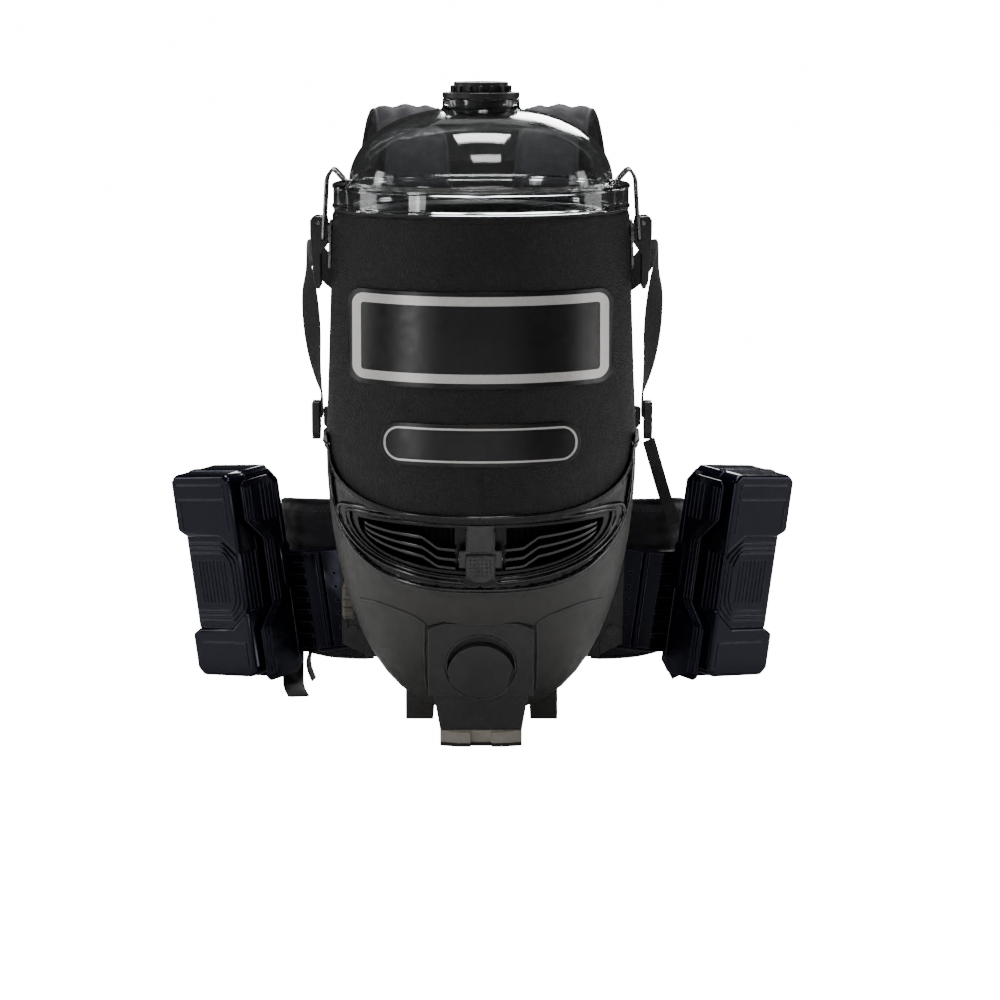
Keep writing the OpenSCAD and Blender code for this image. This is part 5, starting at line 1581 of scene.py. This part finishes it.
def case_blocks():
    """The case's back half, its raised upper and lower blocks and the grip between them."""
    w, h, c = pack_half_w - 0.0004, pack_half_h - 0.0004, 0.005
    case = [(-w, -h + c), (-w + c, -h), (w - c, -h), (w, -h + c), (w, h - c), (w - c, h), (-w + c, h),
            (-w, h - c)]
    w, h, c = pack_half_w, pack_half_h, 0.006
    upper = [(-w, grip_top - slant * 0.75), (-w + slant, grip_top), (w - slant * 0.5, grip_top),
             (w, grip_top + 0.006), (w, h - c), (w - c, h), (-w + c, h), (-w, h - c)]
    c = 0.007
    lower = [(-w, -h + c), (-w + c, -h), (w - c, -h), (w, -h + c), (w, grip_low - 0.006),
             (w - slant * 0.5, grip_low), (-w + slant, grip_low), (-w, grip_low + slant * 0.75)]
    w = pack_half_w - 0.0045
    grip = [(-w, grip_low - 0.004), (w, grip_low - 0.004), (w, grip_top + 0.004), (-w, grip_top + 0.004)]
    return [
        outline_solid("case_half", case, pack_base, pack_face - 0.022, 0.0012),
        outline_solid("upper_block", upper, block_base, pack_face, block_edge),
        outline_solid("lower_block", lower, block_base, pack_face, block_edge),
        outline_solid("grip_block", grip, 0.030, grip_face, 0.0045, 4)
    ]


def flange_lines():
    """Three stacked lines round the case, that dip with the dock's notches at both sides."""
    w, h = pack_half_w, pack_half_h
    lines = []
    for side in (-1, 1):
        for k in range(3):
            out = flange_out + 0.003 * k
            x = side * (w - 0.0002 + 0.0003 * k)
            lines.append([(x, out, h - 0.007), (x, out, 0.046), (x, out - 0.018, 0.0285),
                          (x, out - 0.018, -0.0285), (x, out, -0.046), (x, out, 0.007 - h)])
    for z in (-h + 0.0002, h - 0.0002):
        for k in range(3):
            out = flange_out + 0.003 * k
            lines.append([(-w + 0.006, out, z), (w - 0.006, out, z)])
    return [bead(line, 0.0011) for line in lines]


def grip_lines():
    """Nested half-hexagons on the grip's face, the lines that follow them on its side, and its ribs."""
    w = pack_half_w
    pieces = []
    for k in range(3):
        step = 0.0048 * k
        near, far = -w + 0.008 + step, w - 0.009
        high, low = grip_top - 0.006 - step, grip_low + 0.006 + step
        high_bend, low_bend = grip_top - 0.019 - 0.8 * step, grip_low + 0.019 + 0.8 * step
        pieces.append(bead([
            (far, grip_face, high), (-w + slant, grip_face, high), (near, grip_face, high_bend),
            (near, grip_face, low_bend), (-w + slant, grip_face, low), (far, grip_face, low)
        ], 0.0013))
        side_x, out = -w + 0.0043, grip_face - 0.006 - step
        pieces.append(bead([
            (side_x, grip_face - 0.003, grip_top - 0.002), (side_x, out, grip_top - 0.012),
            (side_x, out, grip_low + 0.012), (side_x, grip_face - 0.003, grip_low + 0.002)
        ], 0.0012))
    for i in range(8):
        x = -w + 0.0265 + 0.0048 * i
        pieces.append(bead([(x, grip_face, grip_low + 0.023), (x, grip_face, grip_top - 0.023)], 0.0009))
    return pieces


def block_lines():
    """Fine lines on the two blocks' faces, given across and up."""
    w = pack_half_w
    left, right = -w + 0.009, w - 0.009
    lines = [
        [(right, 0.0735), (left, 0.0735), (left, 0.0875), (right, 0.0875)],
        [(left, 0.0735), (left, 0.040)],
        [(right, 0.0735), (right, 0.043)],
        [(-w + 0.008, -0.064), (w - 0.014, -0.064)],
        [(-w + 0.008, -0.064), (-w + 0.008, -0.088)]
    ]
    return [bead([(x, pack_face, z) for x, z in line], 0.0009) for line in lines]


pack_pieces = case_blocks() + flange_lines() + grip_lines() + block_lines()
for pack, side in zip(pod_pair(pack_pieces, "battery_pack"), ("left", "right")):
    dress(pack, pod_gloss, "pack_" + side)
    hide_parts("battery_" + side)
